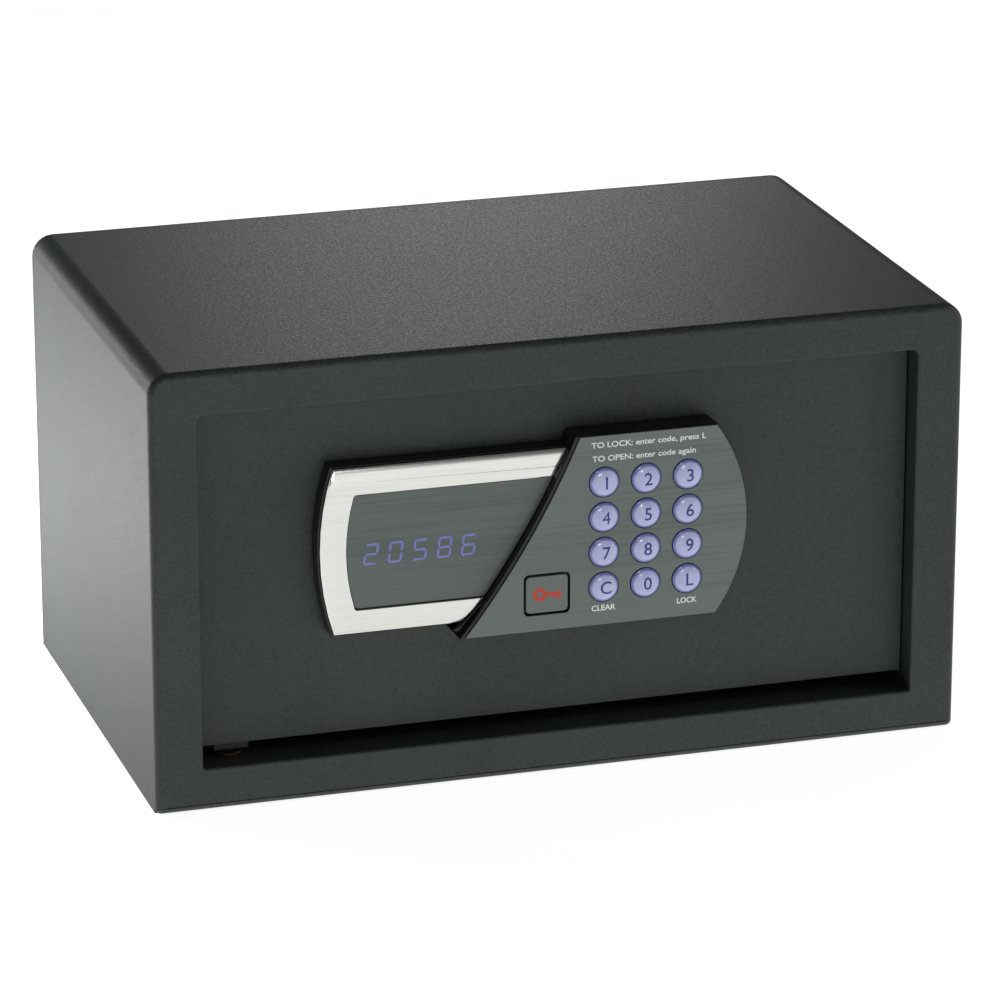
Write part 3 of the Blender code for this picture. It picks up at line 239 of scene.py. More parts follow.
# ------------------------------------------------------------------ felt mat
# Needled grey felt, 3 mm thick, cut by die with a hole over each floor fixing and laid in loose.
# Matted polyester fibre: a 0.8 mm mottle, drawn out a little along the roll, with a soft nap and no gloss.
felt, tree, on_piece = start_finish("needled_felt")
combed = add_node(tree, "ShaderNodeMapping", {
    "Vector": on_piece, "Scale": (1 / (0.8 * mm), 1 / (2.2 * mm), 1 / (0.8 * mm))})
fibres = add_node(tree, "ShaderNodeTexNoise", {
    "Vector": combed, "Scale": 1.0, "Detail": 6.0, "Roughness": 0.7})
tone = add_node(tree, "ShaderNodeValToRGB", {"Fac": fibres}, ((0.3, "#24282a"), (0.7, "#474d50")))
nap = add_node(tree, "ShaderNodeBump", {"Height": fibres, "Strength": 0.8, "Distance": 0.5 * mm})
shader = add_node(tree, "ShaderNodeBsdfPrincipled", {
    "Base Color": tone, "Roughness": 1.0, "Specular IOR Level": 0.1, "Sheen Weight": 0.35, "Normal": nap})
add_node(tree, "ShaderNodeOutputMaterial", {"Surface": shader})

mat_low, mat_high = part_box("floor_mat")
mat = new_box(mat_low, mat_high)


def round_hole(x, y, z, radius, depth, axis="Z"):
    """A cylinder along Y or Z to cut a round hole with, centred on a point."""
    bm = bmesh.new()
    bmesh.ops.create_cone(bm, cap_ends=True, segments=32, radius1=radius, radius2=radius, depth=depth)
    turn = Matrix.Rotation(math.pi / 2, 4, "X") if axis == "Y" else Matrix()
    bmesh.ops.transform(bm, matrix=Matrix.Translation((x, y, z)) @ turn, verts=bm.verts)
    return bm


fixing_x, fixing_y, mat_hole = 110 * mm, 30 * mm, 8 * mm
mat = carve(mat, *(round_hole(x, fixing_y, 0, mat_hole, 60 * mm) for x in (-fixing_x, fixing_x)))
round_edges(mat, [e for e in mat.edges if e.calc_face_angle(0) > 1], 0.5 * mm, 2)
felt_mat = show("felt_mat", mat, felt, "casing", ["floor_mat"])


# ------------------------------------------------------------------ door leaf and hinge pivots
# The door is a flat 4 mm plate with its edges broken, hung on two welded blocks whose pins turn in
# sintered bronze bushes.  The door and its blocks are coated with the casing.
paint("door_plate", powder_coat)


def softened(node, name, finish, body, width, segments=2, sharp=35):
    """A finer copy of a CAD node: loose triangles merged, sharp edges broken and round faces smooth."""
    bm = bmesh.new()
    bm.from_mesh(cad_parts[node].data)
    bmesh.ops.remove_doubles(bm, verts=bm.verts, dist=0.001 * mm)
    bmesh.ops.dissolve_limit(bm, angle_limit=math.radians(0.5), verts=bm.verts, edges=bm.edges)
    if width:
        edges = [e for e in bm.edges if len(e.link_faces) == 2 and e.calc_face_angle() > math.radians(50)]
        bmesh.ops.bevel(bm, geom=edges, offset=width, segments=segments, affect="EDGES", profile=0.5,
                        material=-1, clamp_overlap=True)
    return show(name, bm, finish, body, [node], sharp)


for node in ("upper_hinge_pivot", "lower_hinge_pivot"):
    softened(node, node.replace("pivot", "block"), powder_coat, "door", 0.4 * mm)


# Sintered bronze, soaked in oil: dull brown metal with fine open pores, drawn at 0.5 mm.
bronze, tree, on_piece = start_finish("oiled_sintered_bronze")
pores = add_node(tree, "ShaderNodeTexNoise", {"Vector": on_piece, "Scale": 1 / (0.5 * mm), "Detail": 2.0})
tone = add_node(tree, "ShaderNodeValToRGB", {"Fac": pores}, ((0.35, "#3b3024"), (0.65, "#5c4b36")))
pitting = add_node(tree, "ShaderNodeBump", {"Height": pores, "Strength": 0.3, "Distance": 0.1 * mm})
shader = add_node(tree, "ShaderNodeBsdfPrincipled", {
    "Base Color": tone, "Metallic": 0.9, "Roughness": 0.55, "Normal": pitting})
add_node(tree, "ShaderNodeOutputMaterial", {"Surface": shader})

for node in ("upper_hinge_bush", "lower_hinge_bush"):
    softened(node, node.replace("bush", "sleeve"), bronze, "casing", 0.15 * mm)


# ------------------------------------------------------------------ lock housing
# One black ABS moulding behind the whole lock plate: a low part under the chrome and the window, a taller
# part under the keypad, and a small scooped corner between them where a fingertip pulls the door.
# Polished ABS: near-black and glossy, with the slight waviness of a moulded face, 9 mm from crest to crest.
black_abs, tree, on_piece = start_finish("polished_black_abs")
waves = add_node(tree, "ShaderNodeTexNoise", {"Vector": on_piece, "Scale": 1 / (9 * mm), "Detail": 1.0})
tone = add_node(tree, "ShaderNodeValToRGB", {"Fac": waves}, ((0.3, "#080c0c"), (0.7, "#0f1414")))
sink = add_node(tree, "ShaderNodeBump", {"Height": waves, "Strength": 0.05, "Distance": 0.4 * mm})
shader = add_node(tree, "ShaderNodeBsdfPrincipled", {
    "Base Color": tone, "Roughness": 0.22, "Specular IOR Level": 0.4, "Normal": sink})
add_node(tree, "ShaderNodeOutputMaterial", {"Surface": shader})

face_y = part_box("door_plate")[0].y
plate_middle = 121.2 * mm
pad_half, pad_right, pad_bow = 47.1 * mm, 74.3 * mm, 15.3 * mm
slant_top, slant_low, slant_bow = 6.3 * mm, -50.2 * mm, 3.7 * mm
lip = 2.2 * mm
frame_half, frame_left, frame_bow = 40.9 * mm, -112.6 * mm, 6.5 * mm


def draw_face(bm, y, corners, steps=24):
    """Fill a closed outline at depth y.  A corner is (x, z, bow), and the edge from it bows to its left."""
    first = previous = None
    for (x, z, bow), (next_x, next_z, _) in zip(corners, corners[1:] + corners[:1]):
        start, end = Vector((x, y, z)), Vector((next_x, y, next_z))
        corner = bm.verts.new(start)
        first = first or corner
        if previous:
            bm.edges.new((previous, corner))
        previous = corner
        if bow:
            half = (end - start).length / 2
            radius = (half * half + bow * bow) / (2 * bow)
            left = Vector((start.z - end.z, 0, end.x - start.x)).normalized()
            turned = bmesh.ops.spin(bm, geom=[corner], cent=(start + end) / 2 + left * (bow - radius),
                                    axis=(0, 1, 0), angle=2 * math.asin(half / radius), steps=steps)
            previous = turned["geom_last"][0]
    bm.edges.new((previous, first))
    bmesh.ops.remove_doubles(bm, verts=bm.verts, dist=0.005 * mm)
    return bmesh.ops.contextual_create(bm, geom=bm.edges[:])["faces"][0]


def round_rim(bm, y, radius, segments, chosen=lambda point: True):
    """Round the rim of the face at depth y, where both ends of an edge pass the test."""
    rim = [e for e in bm.edges if is_rim(e)
           and all(v.co.y < y + 0.01 * mm and chosen(v.co) for v in e.verts)]
    round_edges(bm, rim, radius, segments)


def slab(corners, proud, thickness, steps=24):
    """A slab whose front stands proud of the door's face."""
    bm = bmesh.new()
    front = draw_face(bm, face_y - proud, corners, steps)
    pulled = bmesh.ops.extrude_face_region(bm, geom=[front])["geom"]
    corners_behind = [v for v in pulled if isinstance(v, bmesh.types.BMVert)]
    bmesh.ops.translate(bm, vec=(0, thickness, 0), verts=corners_behind)
    bmesh.ops.recalc_face_normals(bm, faces=bm.faces[:])
    return bm


def slant_at(height, left_by=0.0):
    """Where the keypad's slanted edge, moved left, stands at a height."""
    share = (height - plate_middle + pad_half) / (2 * pad_half)
    swell = slant_bow / math.cos(math.atan2(slant_top - slant_low, 2 * pad_half))
    return slant_low + (slant_top - slant_low) * share + swell * 4 * share * (1 - share) - left_by


def pad_corners(grow, left_by):
    """Corners of the keypad section, from its lower right round by the bottom; its right end bows out."""
    top, low, right = plate_middle + pad_half + grow, plate_middle - pad_half - grow, pad_right + grow
    return [(right, low, 0), (slant_at(low, left_by), low, -slant_bow), (slant_at(top, left_by), top, 0),
            (right, top, pad_bow + grow / 2)]


key_columns = (18.2 * mm, 39.0 * mm, 59.8 * mm)
key_rows = (145.3 * mm, 127.9 * mm, 110.5 * mm, 93.1 * mm)
key_places = [(x, z) for z in key_rows for x in key_columns]
key_hole, badge_gap = 7.6 * mm, 1.2 * mm
badge_low, badge_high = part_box("badge_cover")
badge_middle = (badge_low + badge_high) / 2


def badge_block(grow, front, back):
    """The badge's rounded square, grown all round."""
    low = (badge_low.x - grow, front, badge_low.z - grow)
    high = (badge_high.x + grow, back, badge_high.z + grow)
    return rounded_post(low, high, 2 * mm + grow / 2, 2 * mm + grow / 2, 6)


base_proud, base_rim, base_right = 9 * mm, mm, 20 * mm
base_top, base_low = plate_middle + frame_half + base_rim, plate_middle - frame_half - base_rim
base_left = frame_left - base_rim
base = slab([(base_right, base_low, 0), (base_left, base_low, frame_bow), (base_left, base_top, 0),
             (base_right, base_top, 0)], base_proud, 8.7 * mm)
round_rim(base, face_y - base_proud, 0.7 * mm, 4)
tower_proud = 15.6 * mm
tower = slab(pad_corners(0.4 * mm, lip), tower_proud, 15.2 * mm)
round_rim(tower, face_y - tower_proud, 0.35 * mm, 3)
scoop_proud, scoop_top, scoop_low, scoop_reach = 12 * mm, 92.1 * mm, 75.1 * mm, 12.2 * mm
scoop_x = slant_at(scoop_top, lip)
scoop = slab([(slant_at(scoop_low), scoop_low, 0), (-55.6 * mm, 77.2 * mm, 0),
              (scoop_x - scoop_reach, 79.8 * mm, 0), (scoop_x, scoop_top, 0),
              (slant_at(scoop_top), scoop_top, 0)], scoop_proud, 11.4 * mm)
round_rim(scoop, face_y - scoop_proud, 0.8 * mm, 4)
housing = carve(base, tower, scoop, operation="UNION")
key_wells = [round_hole(x, face_y - 15 * mm, z, key_hole, 8 * mm, "Y") for x, z in key_places]
badge_seat = badge_block(badge_gap, face_y - 20 * mm, face_y - 13.3 * mm)
lock_passage = round_hole(badge_middle.x, face_y - 10 * mm, badge_middle.z, 8.4 * mm, 26 * mm, "Y")
housing = carve(housing, *key_wells, badge_seat, lock_passage)
show("lock_moulding", housing, black_abs, "door", ["lock_housing"])


# ------------------------------------------------------------------ chrome frame
# A C-shaped frame of chrome-plated ABS.  Its satin face is crowned and falls away to the outer edge, and a
# bright polished chamfer runs along the window.  It snaps onto the housing.
# Satin chrome: a warm white mirror, blurred along brush lines 0.5 mm apart.
satin_chrome, tree, on_piece = start_finish("satin_chrome_plate")
brushed = add_node(tree, "ShaderNodeMapping", {
    "Vector": on_piece, "Scale": (1 / (40 * mm), 1 / (40 * mm), 1 / (0.5 * mm))})
lines = add_node(tree, "ShaderNodeTexNoise", {
    "Vector": brushed, "Scale": 1.0, "Detail": 4.0, "Roughness": 0.6})
tone = add_node(tree, "ShaderNodeValToRGB", {"Fac": lines}, ((0.25, "#d2d1cd"), (0.75, "#e9e8e4")))
scratches = add_node(tree, "ShaderNodeBump", {"Height": lines, "Strength": 0.08, "Distance": 0.05 * mm})
shader = add_node(tree, "ShaderNodeBsdfPrincipled", {
    "Base Color": tone, "Metallic": 1.0, "Roughness": 0.17, "Normal": scratches})
add_node(tree, "ShaderNodeOutputMaterial", {"Surface": shader})

window_top, window_low, window_left, window_bow = 148.6 * mm, 92.4 * mm, -102.7 * mm, 3.6 * mm
corner_cut, joint = 1.8 * mm, 0.3 * mm
chrome_proud, chrome_thick = 11.5 * mm, 2.2 * mm
crown_width, crown_fall = 8.5 * mm, 1.2 * mm
frame_top, frame_low = plate_middle + frame_half, plate_middle - frame_half
inner_left, inner_top, inner_low = window_left - joint, window_top + joint, window_low - joint
chrome = slab([
    (frame_left, frame_low, frame_bow), (frame_left, frame_top, 0),
    (slant_at(frame_top, lip + joint), frame_top, 0), (slant_at(inner_top, lip + joint), inner_top, 0),
    (inner_left + corner_cut, inner_top, -0.45 * mm), (inner_left, inner_top - corner_cut, -window_bow),
    (inner_left, inner_low + corner_cut, -0.45 * mm), (inner_left + corner_cut, inner_low, 0),
    (slant_at(inner_low, lip + joint), inner_low, 0),
    (slant_at(inner_low, lip + joint) - scoop_reach, frame_low, 0),
], chrome_proud, chrome_thick * crown_width / crown_fall, 8)
# The crown is rounded as a quarter circle on a deep block, which is then pressed flat to its real depth.
round_rim(chrome, face_y - chrome_proud, crown_width, 10,
          lambda p: p.z > frame_top - 0.1 * mm or p.z < frame_low + 0.1 * mm or p.x < frame_left + 0.1 * mm)
bmesh.ops.scale(chrome, vec=(1, crown_fall / crown_width, 1), verts=chrome.verts,
                space=Matrix.Translation((0, chrome_proud - face_y, 0)))
round_rim(chrome, face_y - chrome_proud, 0.35 * mm, 2)
show("chrome_frame", chrome, satin_chrome, "door", ["chrome_bezel"])


# ------------------------------------------------------------------ display window
# A smoked acrylic window, printed silver-grey on its back with a faint brushed grain, and clear enough for
# the lit characters behind it to shine through.
def print_silver(name, dark, pale):
    """Brushed-silver print under a hard coat: streaks 1.4 mm apart, wide bands of painted reflection, soft
    gloss.
    """
    silver, tree, on_piece = start_finish(name)
    drawn_out = add_node(tree, "ShaderNodeMapping", {
        "Vector": on_piece, "Scale": (1 / (70 * mm), 1 / (70 * mm), 1 / (1.4 * mm))})
    streaks = add_node(tree, "ShaderNodeTexNoise", {
        "Vector": drawn_out, "Scale": 1.0, "Detail": 4.0, "Roughness": 0.65})
    # Broad horizontal bands of painted reflection, 160 mm long and 14 mm high, lighten the print in
    # streaks.
    widened = add_node(tree, "ShaderNodeMapping", {
        "Vector": on_piece, "Scale": (1 / (160 * mm), 1 / (160 * mm), 1 / (14 * mm))})
    bands = add_node(tree, "ShaderNodeTexNoise", {"Vector": widened, "Scale": 1.0, "Detail": 1.0})
    shade = add_node(tree, "ShaderNodeMath", {0: streaks, 1: bands}, operation="ADD")
    tone = add_node(tree, "ShaderNodeValToRGB", {"Fac": shade}, ((0.7, dark), (1.0, pale)))
    grain = add_node(tree, "ShaderNodeBump", {"Height": streaks, "Strength": 0.05, "Distance": 0.05 * mm})
    shader = add_node(tree, "ShaderNodeBsdfPrincipled", {
        "Base Color": tone, "Roughness": 0.36, "Coat Weight": 0.2, "Coat Roughness": 0.15, "Normal": grain})
    add_node(tree, "ShaderNodeOutputMaterial", {"Surface": shader})
    return silver


window_proud = 10.6 * mm
window_slope = slant_bow * ((window_top - window_low) / (2 * pad_half)) ** 2
window = slab([
    (slant_at(window_low, lip + joint), window_low, 0), (window_left + corner_cut, window_low, 0.45 * mm),
    (window_left, window_low + corner_cut, window_bow), (window_left, window_top - corner_cut, 0.45 * mm),
    (window_left + corner_cut, window_top, 0),
    (slant_at(window_top, lip + joint), window_top, window_slope),
], window_proud, 1.3 * mm)
round_rim(window, face_y - window_proud, 0.3 * mm, 2)
silver_window = print_silver("silver_print_under_acrylic", "#4d5552", "#5b6360")
show("smoked_window", window, silver_window, "door", ["display_window"])


# ------------------------------------------------------------------ lit characters
# Seven-segment characters of blue-violet light, which shine through the window from the display board.
# They are laid on the window's face as a film of light 0.04 mm thick.
# Vacuum-fluorescent light through smoked acrylic: pale blue-violet, dim enough to keep its colour.
glow, tree, on_piece = start_finish("lit_segments")
mesh_wires = add_node(tree, "ShaderNodeTexNoise", {
    "Vector": on_piece, "Scale": 1 / (0.6 * mm), "Detail": 2.0})
tone = add_node(tree, "ShaderNodeValToRGB", {"Fac": mesh_wires}, ((0.3, "#666aa8"), (0.7, "#7b80c0")))
shader = add_node(tree, "ShaderNodeBsdfPrincipled", {
    "Base Color": tone, "Emission Color": tone, "Emission Strength": 0.15, "Roughness": 0.5})
add_node(tree, "ShaderNodeOutputMaterial", {"Surface": shader})

tall, wide, stroke, film, lean = 10.6 * mm, 7.0 * mm, 1.2 * mm, 0.04 * mm, 0.13
digit_foot, digit_lefts = 113.6 * mm, (-98.6 * mm, -86.6 * mm, -74.6 * mm, -62.7 * mm, -50.9 * mm)
segments_of = {"0": "abcdef", "2": "abged", "5": "afgcd", "6": "afgcde", "8": "abcdefg"}
bar_middles = {
    "a": (wide / 2, tall - stroke / 2), "g": (wide / 2, tall / 2), "d": (wide / 2, stroke / 2),
    "f": (stroke / 2, tall * 0.74), "e": (stroke / 2, tall * 0.26),
    "b": (wide - stroke / 2, tall * 0.74), "c": (wide - stroke / 2, tall * 0.26),
}
lit = bmesh.new()
for left, digit in zip(digit_lefts, "20586"):
    for bar in segments_of[digit]:
        x, z = bar_middles[bar]
        long = (wide if bar in "agd" else tall / 2) - stroke
        made = bmesh.ops.create_cube(lit, size=1.0)["verts"]
        size = (long, film, stroke) if bar in "agd" else (stroke, film, long)
        bmesh.ops.scale(lit, vec=size, verts=made)
        bmesh.ops.translate(lit, vec=(left + x, 0, z), verts=made)
round_off(lit, 0.4 * stroke, 1, along_y)
for vert in lit.verts:
    vert.co.x += lean * vert.co.z
bmesh.ops.translate(lit, vec=(0, face_y - window_proud - 0.03 * mm, digit_foot), verts=lit.verts)
show("lit_characters", lit, glow, "door")


# ------------------------------------------------------------------ keypad face
# A printed polycarbonate overlay, 0.6 mm thick, bonded to the top of the keypad section and punched for
# the keys and the badge.  It has the window's brushed grey print, made paler here as painted sheen.
overlay_proud = 16.5 * mm
overlay = slab(pad_corners(0, 0), overlay_proud, 0.6 * mm)
punched = [round_hole(x, face_y - 16 * mm, z, key_hole, 8 * mm, "Y") for x, z in key_places]
overlay = carve(overlay, *punched, badge_block(badge_gap, face_y - 20 * mm, face_y - 12 * mm))
round_rim(overlay, face_y - overlay_proud, 0.22 * mm, 2)
# This copy of the print is paler than the window's: the extra lightness is painted sheen.
silver_print_paler_as_sheen = print_silver("silver_print_on_polycarbonate", "#58605d", "#666e6b")
show("keypad_overlay", overlay, silver_print_paler_as_sheen, "door", ["keypad_fascia"])


# ------------------------------------------------------------------ printed words
# White screen-printed words on the overlay: plain directions above the keys, and the name of a key's job
# below two of them.  The ink is a few hundredths of a millimetre thick.
def mix_ink(name, thin, full):
    """Screen ink: flat and slightly rough, thinner where the screen's 0.3 mm mesh held it back."""
    ink, tree, on_piece = start_finish(name)
    mesh = add_node(tree, "ShaderNodeTexNoise", {
        "Vector": on_piece, "Scale": 1 / (0.3 * mm), "Detail": 2.0})
    tone = add_node(tree, "ShaderNodeValToRGB", {"Fac": mesh}, ((0.3, thin), (0.6, full)))
    grain = add_node(tree, "ShaderNodeBump", {"Height": mesh, "Strength": 0.1, "Distance": 0.02 * mm})
    shader = add_node(tree, "ShaderNodeBsdfPrincipled", {
        "Base Color": tone, "Roughness": 0.55, "Normal": grain})
    add_node(tree, "ShaderNodeOutputMaterial", {"Surface": shader})
    return ink


def write(words, x, z, size, bold, align="CENTER", width=None):
    """Words as a thin solid, 0.04 mm deep, that reads from the front and lies in the door's face."""
    text = bpy.data.curves.new("words", "FONT")
    text.body, text.size, text.offset, text.extrude = words, size, bold, 0.02 * mm
    text.align_x, text.align_y, text.resolution_u = align, "CENTER", 6
    drawn = bpy.data.objects.new("words", text)
    bpy.context.scene.collection.objects.link(drawn)
    mesh = bpy.data.meshes.new_from_object(drawn.evaluated_get(bpy.context.evaluated_depsgraph_get()))
    bpy.data.objects.remove(drawn, do_unlink=True)
    bm = bmesh.new()
    bm.from_mesh(mesh)
    bmesh.ops.remove_doubles(bm, verts=bm.verts, dist=0.002 * mm)
    bmesh.ops.recalc_face_normals(bm, faces=bm.faces[:])
    span = max(v.co.x for v in bm.verts) - min(v.co.x for v in bm.verts)
    bmesh.ops.scale(bm, vec=((width or span) / span, 1, 1), verts=bm.verts)
    turn = Matrix.Translation((x, face_y, z)) @ Matrix.Rotation(math.pi / 2, 4, "X")
    bmesh.ops.transform(bm, matrix=turn, verts=bm.verts)
    return bm


def gather(parts):
    """Several bmeshes as one."""
    whole = bmesh.new()
    for part in parts:
        mesh = bpy.data.meshes.new("part")
        part.to_mesh(mesh)
        part.free()
        whole.from_mesh(mesh)
    return whole


directions = gather([
    write("TO LOCK: enter code, press L", 11.8 * mm, 163.6 * mm, 3.9 * mm, 0.07 * mm, "LEFT", 57 * mm),
    write("TO OPEN: enter code again", 12.2 * mm, 156.9 * mm, 3.9 * mm, 0.07 * mm, "LEFT", 51.5 * mm),
    write("CLEAR", 18.1 * mm, 82.4 * mm, 3.8 * mm, 0.1 * mm, width=12 * mm),
    write("LOCK", 59.8 * mm, 81.9 * mm, 3.8 * mm, 0.1 * mm, width=10 * mm),
])
bmesh.ops.translate(directions, vec=(0, -overlay_proud - 0.01 * mm, 0), verts=directions.verts)
white_ink = mix_ink("white_screen_ink", "#d9dedc", "#f2f5f3")
show("printed_directions", directions, white_ink, "door")


# ------------------------------------------------------------------ keys
# Twelve domed keys of milky violet polycarbonate.  Each has a rolled rim, a flange that stops it under the
# housing, and a dark violet legend under a clear skin.
# Milky polycarbonate, glossy and pale on the dome, with painted shade of deep violet down at its rim.
key_plastic, tree, on_piece = start_finish("milky_violet_polycarbonate")
overlay_y = face_y - overlay_proud
depth = add_node(tree, "ShaderNodeSeparateXYZ", {"Vector": on_piece}).outputs["Y"]
# Darker the nearer the overlay: painted shade round the foot of each key, mixed with a faint 4 mm mottle.
painted_rim_shade = add_node(tree, "ShaderNodeMapRange", {
    "Value": depth, "From Min": overlay_y - 1.15 * mm, "From Max": overlay_y - 0.45 * mm})
cloud = add_node(tree, "ShaderNodeTexNoise", {"Vector": on_piece, "Scale": 1 / (4 * mm), "Detail": 2.0})
mottle_and_rim_shade = add_node(tree, "ShaderNodeMath", {0: cloud, 1: 0.25, 2: painted_rim_shade}, operation="MULTIPLY_ADD")
tone = add_node(tree, "ShaderNodeValToRGB", {"Fac": mottle_and_rim_shade}, ((0.1, "#c0c2ec"), (0.95, "#7276b8")))
shader = add_node(tree, "ShaderNodeBsdfPrincipled", {
    "Base Color": tone, "Roughness": 0.16, "Coat Weight": 0.4, "Coat Roughness": 0.06,
    "Subsurface Weight": 0.2, "Subsurface Scale": 1.2 * mm})
add_node(tree, "ShaderNodeOutputMaterial", {"Surface": shader})

legend_ink = mix_ink("violet_legend_ink", "#3a3a8c", "#303080")
key_radius, crown = 7.25 * mm, 2.1 * mm
flange_radius, flange_front, flange_back = 8.2 * mm, 3.4 * mm, 4.6 * mm
stem_radius, stem_end = 3 * mm, 8.2 * mm
key_names = (("1", "2", "3"), ("4", "5", "6"), ("7", "8", "9"), ("clear", "0", "lock"))


def dome_height(distance):
    """How far the key's dome stands above the overlay at a distance from its axis."""
    return crown - 0.9 * mm * (distance / (0.8 * key_radius)) ** 2


def turn_piece(section, start, axis, steps=40):
    """Spin a (radius, distance) section round an axis that leaves a start point along +X or +Y."""
    bm = bmesh.new()
    points = [bm.verts.new((radius, 0, distance)) for radius, distance in section]
    profile = [bm.edges.new(pair) for pair in zip(points, points[1:])]
    bmesh.ops.spin(bm, geom=profile, cent=(0, 0, 0), axis=(0, 0, 1), angle=2 * math.pi, steps=steps,
                   use_merge=True)
    bmesh.ops.remove_doubles(bm, verts=bm.verts, dist=0.005 * mm)
    bmesh.ops.recalc_face_normals(bm, faces=bm.faces[:])
    turns = {"X": Matrix.Rotation(math.pi / 2, 4, "Y"), "Y": Matrix.Rotation(-math.pi / 2, 4, "X")}
    bmesh.ops.transform(bm, matrix=Matrix.Translation(start) @ turns[axis], verts=bm.verts)
    return bm


dome_shares = (0, 0.2, 0.4, 0.6, 0.7, 0.8)
key_section = [(share * key_radius, -dome_height(share * key_radius)) for share in dome_shares] + [
    (0.85 * key_radius, -0.95 * mm), (0.88 * key_radius, -0.66 * mm), (0.94 * key_radius, -0.56 * mm),
    (0.98 * key_radius, -0.4 * mm), (key_radius, -0.1 * mm),
    (key_radius, flange_front), (flange_radius, flange_front), (flange_radius, flange_back),
    (stem_radius, flange_back), (stem_radius, stem_end), (0, stem_end),
]
for z, names in zip(key_rows, key_names):
    for x, name in zip(key_columns, names):
        node = "key_" + name
        cap = turn_piece(key_section, (x, overlay_y, z), "Y", 56)
        show("key_cap_" + name, cap, key_plastic, node, [node])
        # The four is left at its plain weight, because a bolder one would close its small triangle.
        weight = 0 if name == "4" else 0.06 * mm
        mark = {"clear": "C", "lock": "L"}.get(name, name)
        legend = write(mark, x + 0.7 * mm, z - 0.5 * mm, 8.8 * mm, weight)
        for step in range(-4, 5):
            for normal in ((1, 0, 0), (0, 0, 1)):
                bmesh.ops.bisect_plane(legend, geom=legend.verts[:] + legend.edges[:] + legend.faces[:],
                                       dist=0.0001 * mm, plane_no=normal,
                                       plane_co=(x + step * mm, 0, z + step * mm))
        for vert in legend.verts:
            vert.co.y -= overlay_proud + dome_height(math.hypot(vert.co.x - x, vert.co.z - z)) + 0.012 * mm
        show("key_legend_" + name, legend, legend_ink, node)


# ------------------------------------------------------------------ badge
# The cap over the emergency lock: the overlay's printed grey, in a black-edged seat.  The sign on it is a
# plain key, printed in red.
badge = badge_block(0, badge_low.y, badge_high.y)
round_rim(badge, badge_low.y, 0.3 * mm, 3)
show("badge_cap", badge, silver_print_paler_as_sheen, "badge", ["badge_cover"])

sign_y = badge_low.y - 0.01 * mm


def ink_bar(x, z, width, height):
    """A thin bar of ink on the badge, placed by its middle."""
    middle = Vector((badge_middle.x + x, sign_y, badge_middle.z + z))
    reach = Vector((width / 2, 0.02 * mm, height / 2))
    return new_box(middle - reach, middle + reach)


bow_x = badge_middle.x - 3.6 * mm
bow = carve(round_hole(bow_x, sign_y, badge_middle.z, 3.4 * mm, 0.04 * mm, "Y"),
            round_hole(bow_x, sign_y, badge_middle.z, 1.5 * mm, mm, "Y"))
shank = ink_bar(3.1 * mm, 0, 7.8 * mm, 1.7 * mm)
long_tooth = ink_bar(6.2 * mm, -1.6 * mm, 1.6 * mm, 2.4 * mm)
short_tooth = ink_bar(3.6 * mm, -1.3 * mm, 1.5 * mm, 1.8 * mm)
key_sign = carve(bow, shank, long_tooth, short_tooth, operation="UNION")
red_ink = mix_ink("red_screen_ink", "#b83a28", "#d2452f")
show("badge_key_sign", key_sign, red_ink, "badge")


# ------------------------------------------------------------------ emergency lock
# A brass plug turns in a zinc-plated barrel behind the badge, for opening the safe with a key when the
# batteries are flat.  Its cam, punched from plated steel, is screwed on at the back of the door.
# Bright zinc plate: a cold grey metal with clouds of bluish passivation 7 mm across, and a fine etch.
zinc, tree, on_piece = start_finish("bright_zinc_plate")
clouds = add_node(tree, "ShaderNodeTexNoise", {"Vector": on_piece, "Scale": 1 / (7 * mm), "Detail": 3.0})
tone = add_node(tree, "ShaderNodeValToRGB", {"Fac": clouds}, ((0.3, "#9fa5aa"), (0.7, "#c4c5c0")))
etch = add_node(tree, "ShaderNodeTexNoise", {"Vector": on_piece, "Scale": 1 / (0.4 * mm), "Detail": 2.0})
pits = add_node(tree, "ShaderNodeBump", {"Height": etch, "Strength": 0.1, "Distance": 0.05 * mm})
shader = add_node(tree, "ShaderNodeBsdfPrincipled", {
    "Base Color": tone, "Metallic": 1.0, "Roughness": 0.32, "Normal": pits})
add_node(tree, "ShaderNodeOutputMaterial", {"Surface": shader})

# Machined brass: bright yellow metal with fine tool marks, drawn 0.3 mm apart.
brass, tree, on_piece = start_finish("machined_brass")
marks = add_node(tree, "ShaderNodeTexNoise", {"Vector": on_piece, "Scale": 1 / (0.3 * mm), "Detail": 2.0})
tone = add_node(tree, "ShaderNodeValToRGB", {"Fac": marks}, ((0.35, "#a8813f"), (0.65, "#cbab68")))
cuts = add_node(tree, "ShaderNodeBump", {"Height": marks, "Strength": 0.12, "Distance": 0.04 * mm})
shader = add_node(tree, "ShaderNodeBsdfPrincipled", {
    "Base Color": tone, "Metallic": 1.0, "Roughness": 0.27, "Normal": cuts})
add_node(tree, "ShaderNodeOutputMaterial", {"Surface": shader})

softened("override_cylinder", "emergency_lock_barrel", zinc, "door", 0.2 * mm)
softened("override_plug", "emergency_lock_plug", brass, "override", 0.12 * mm)
softened("override_cam", "emergency_lock_cam", zinc, "override", 0.2 * mm)


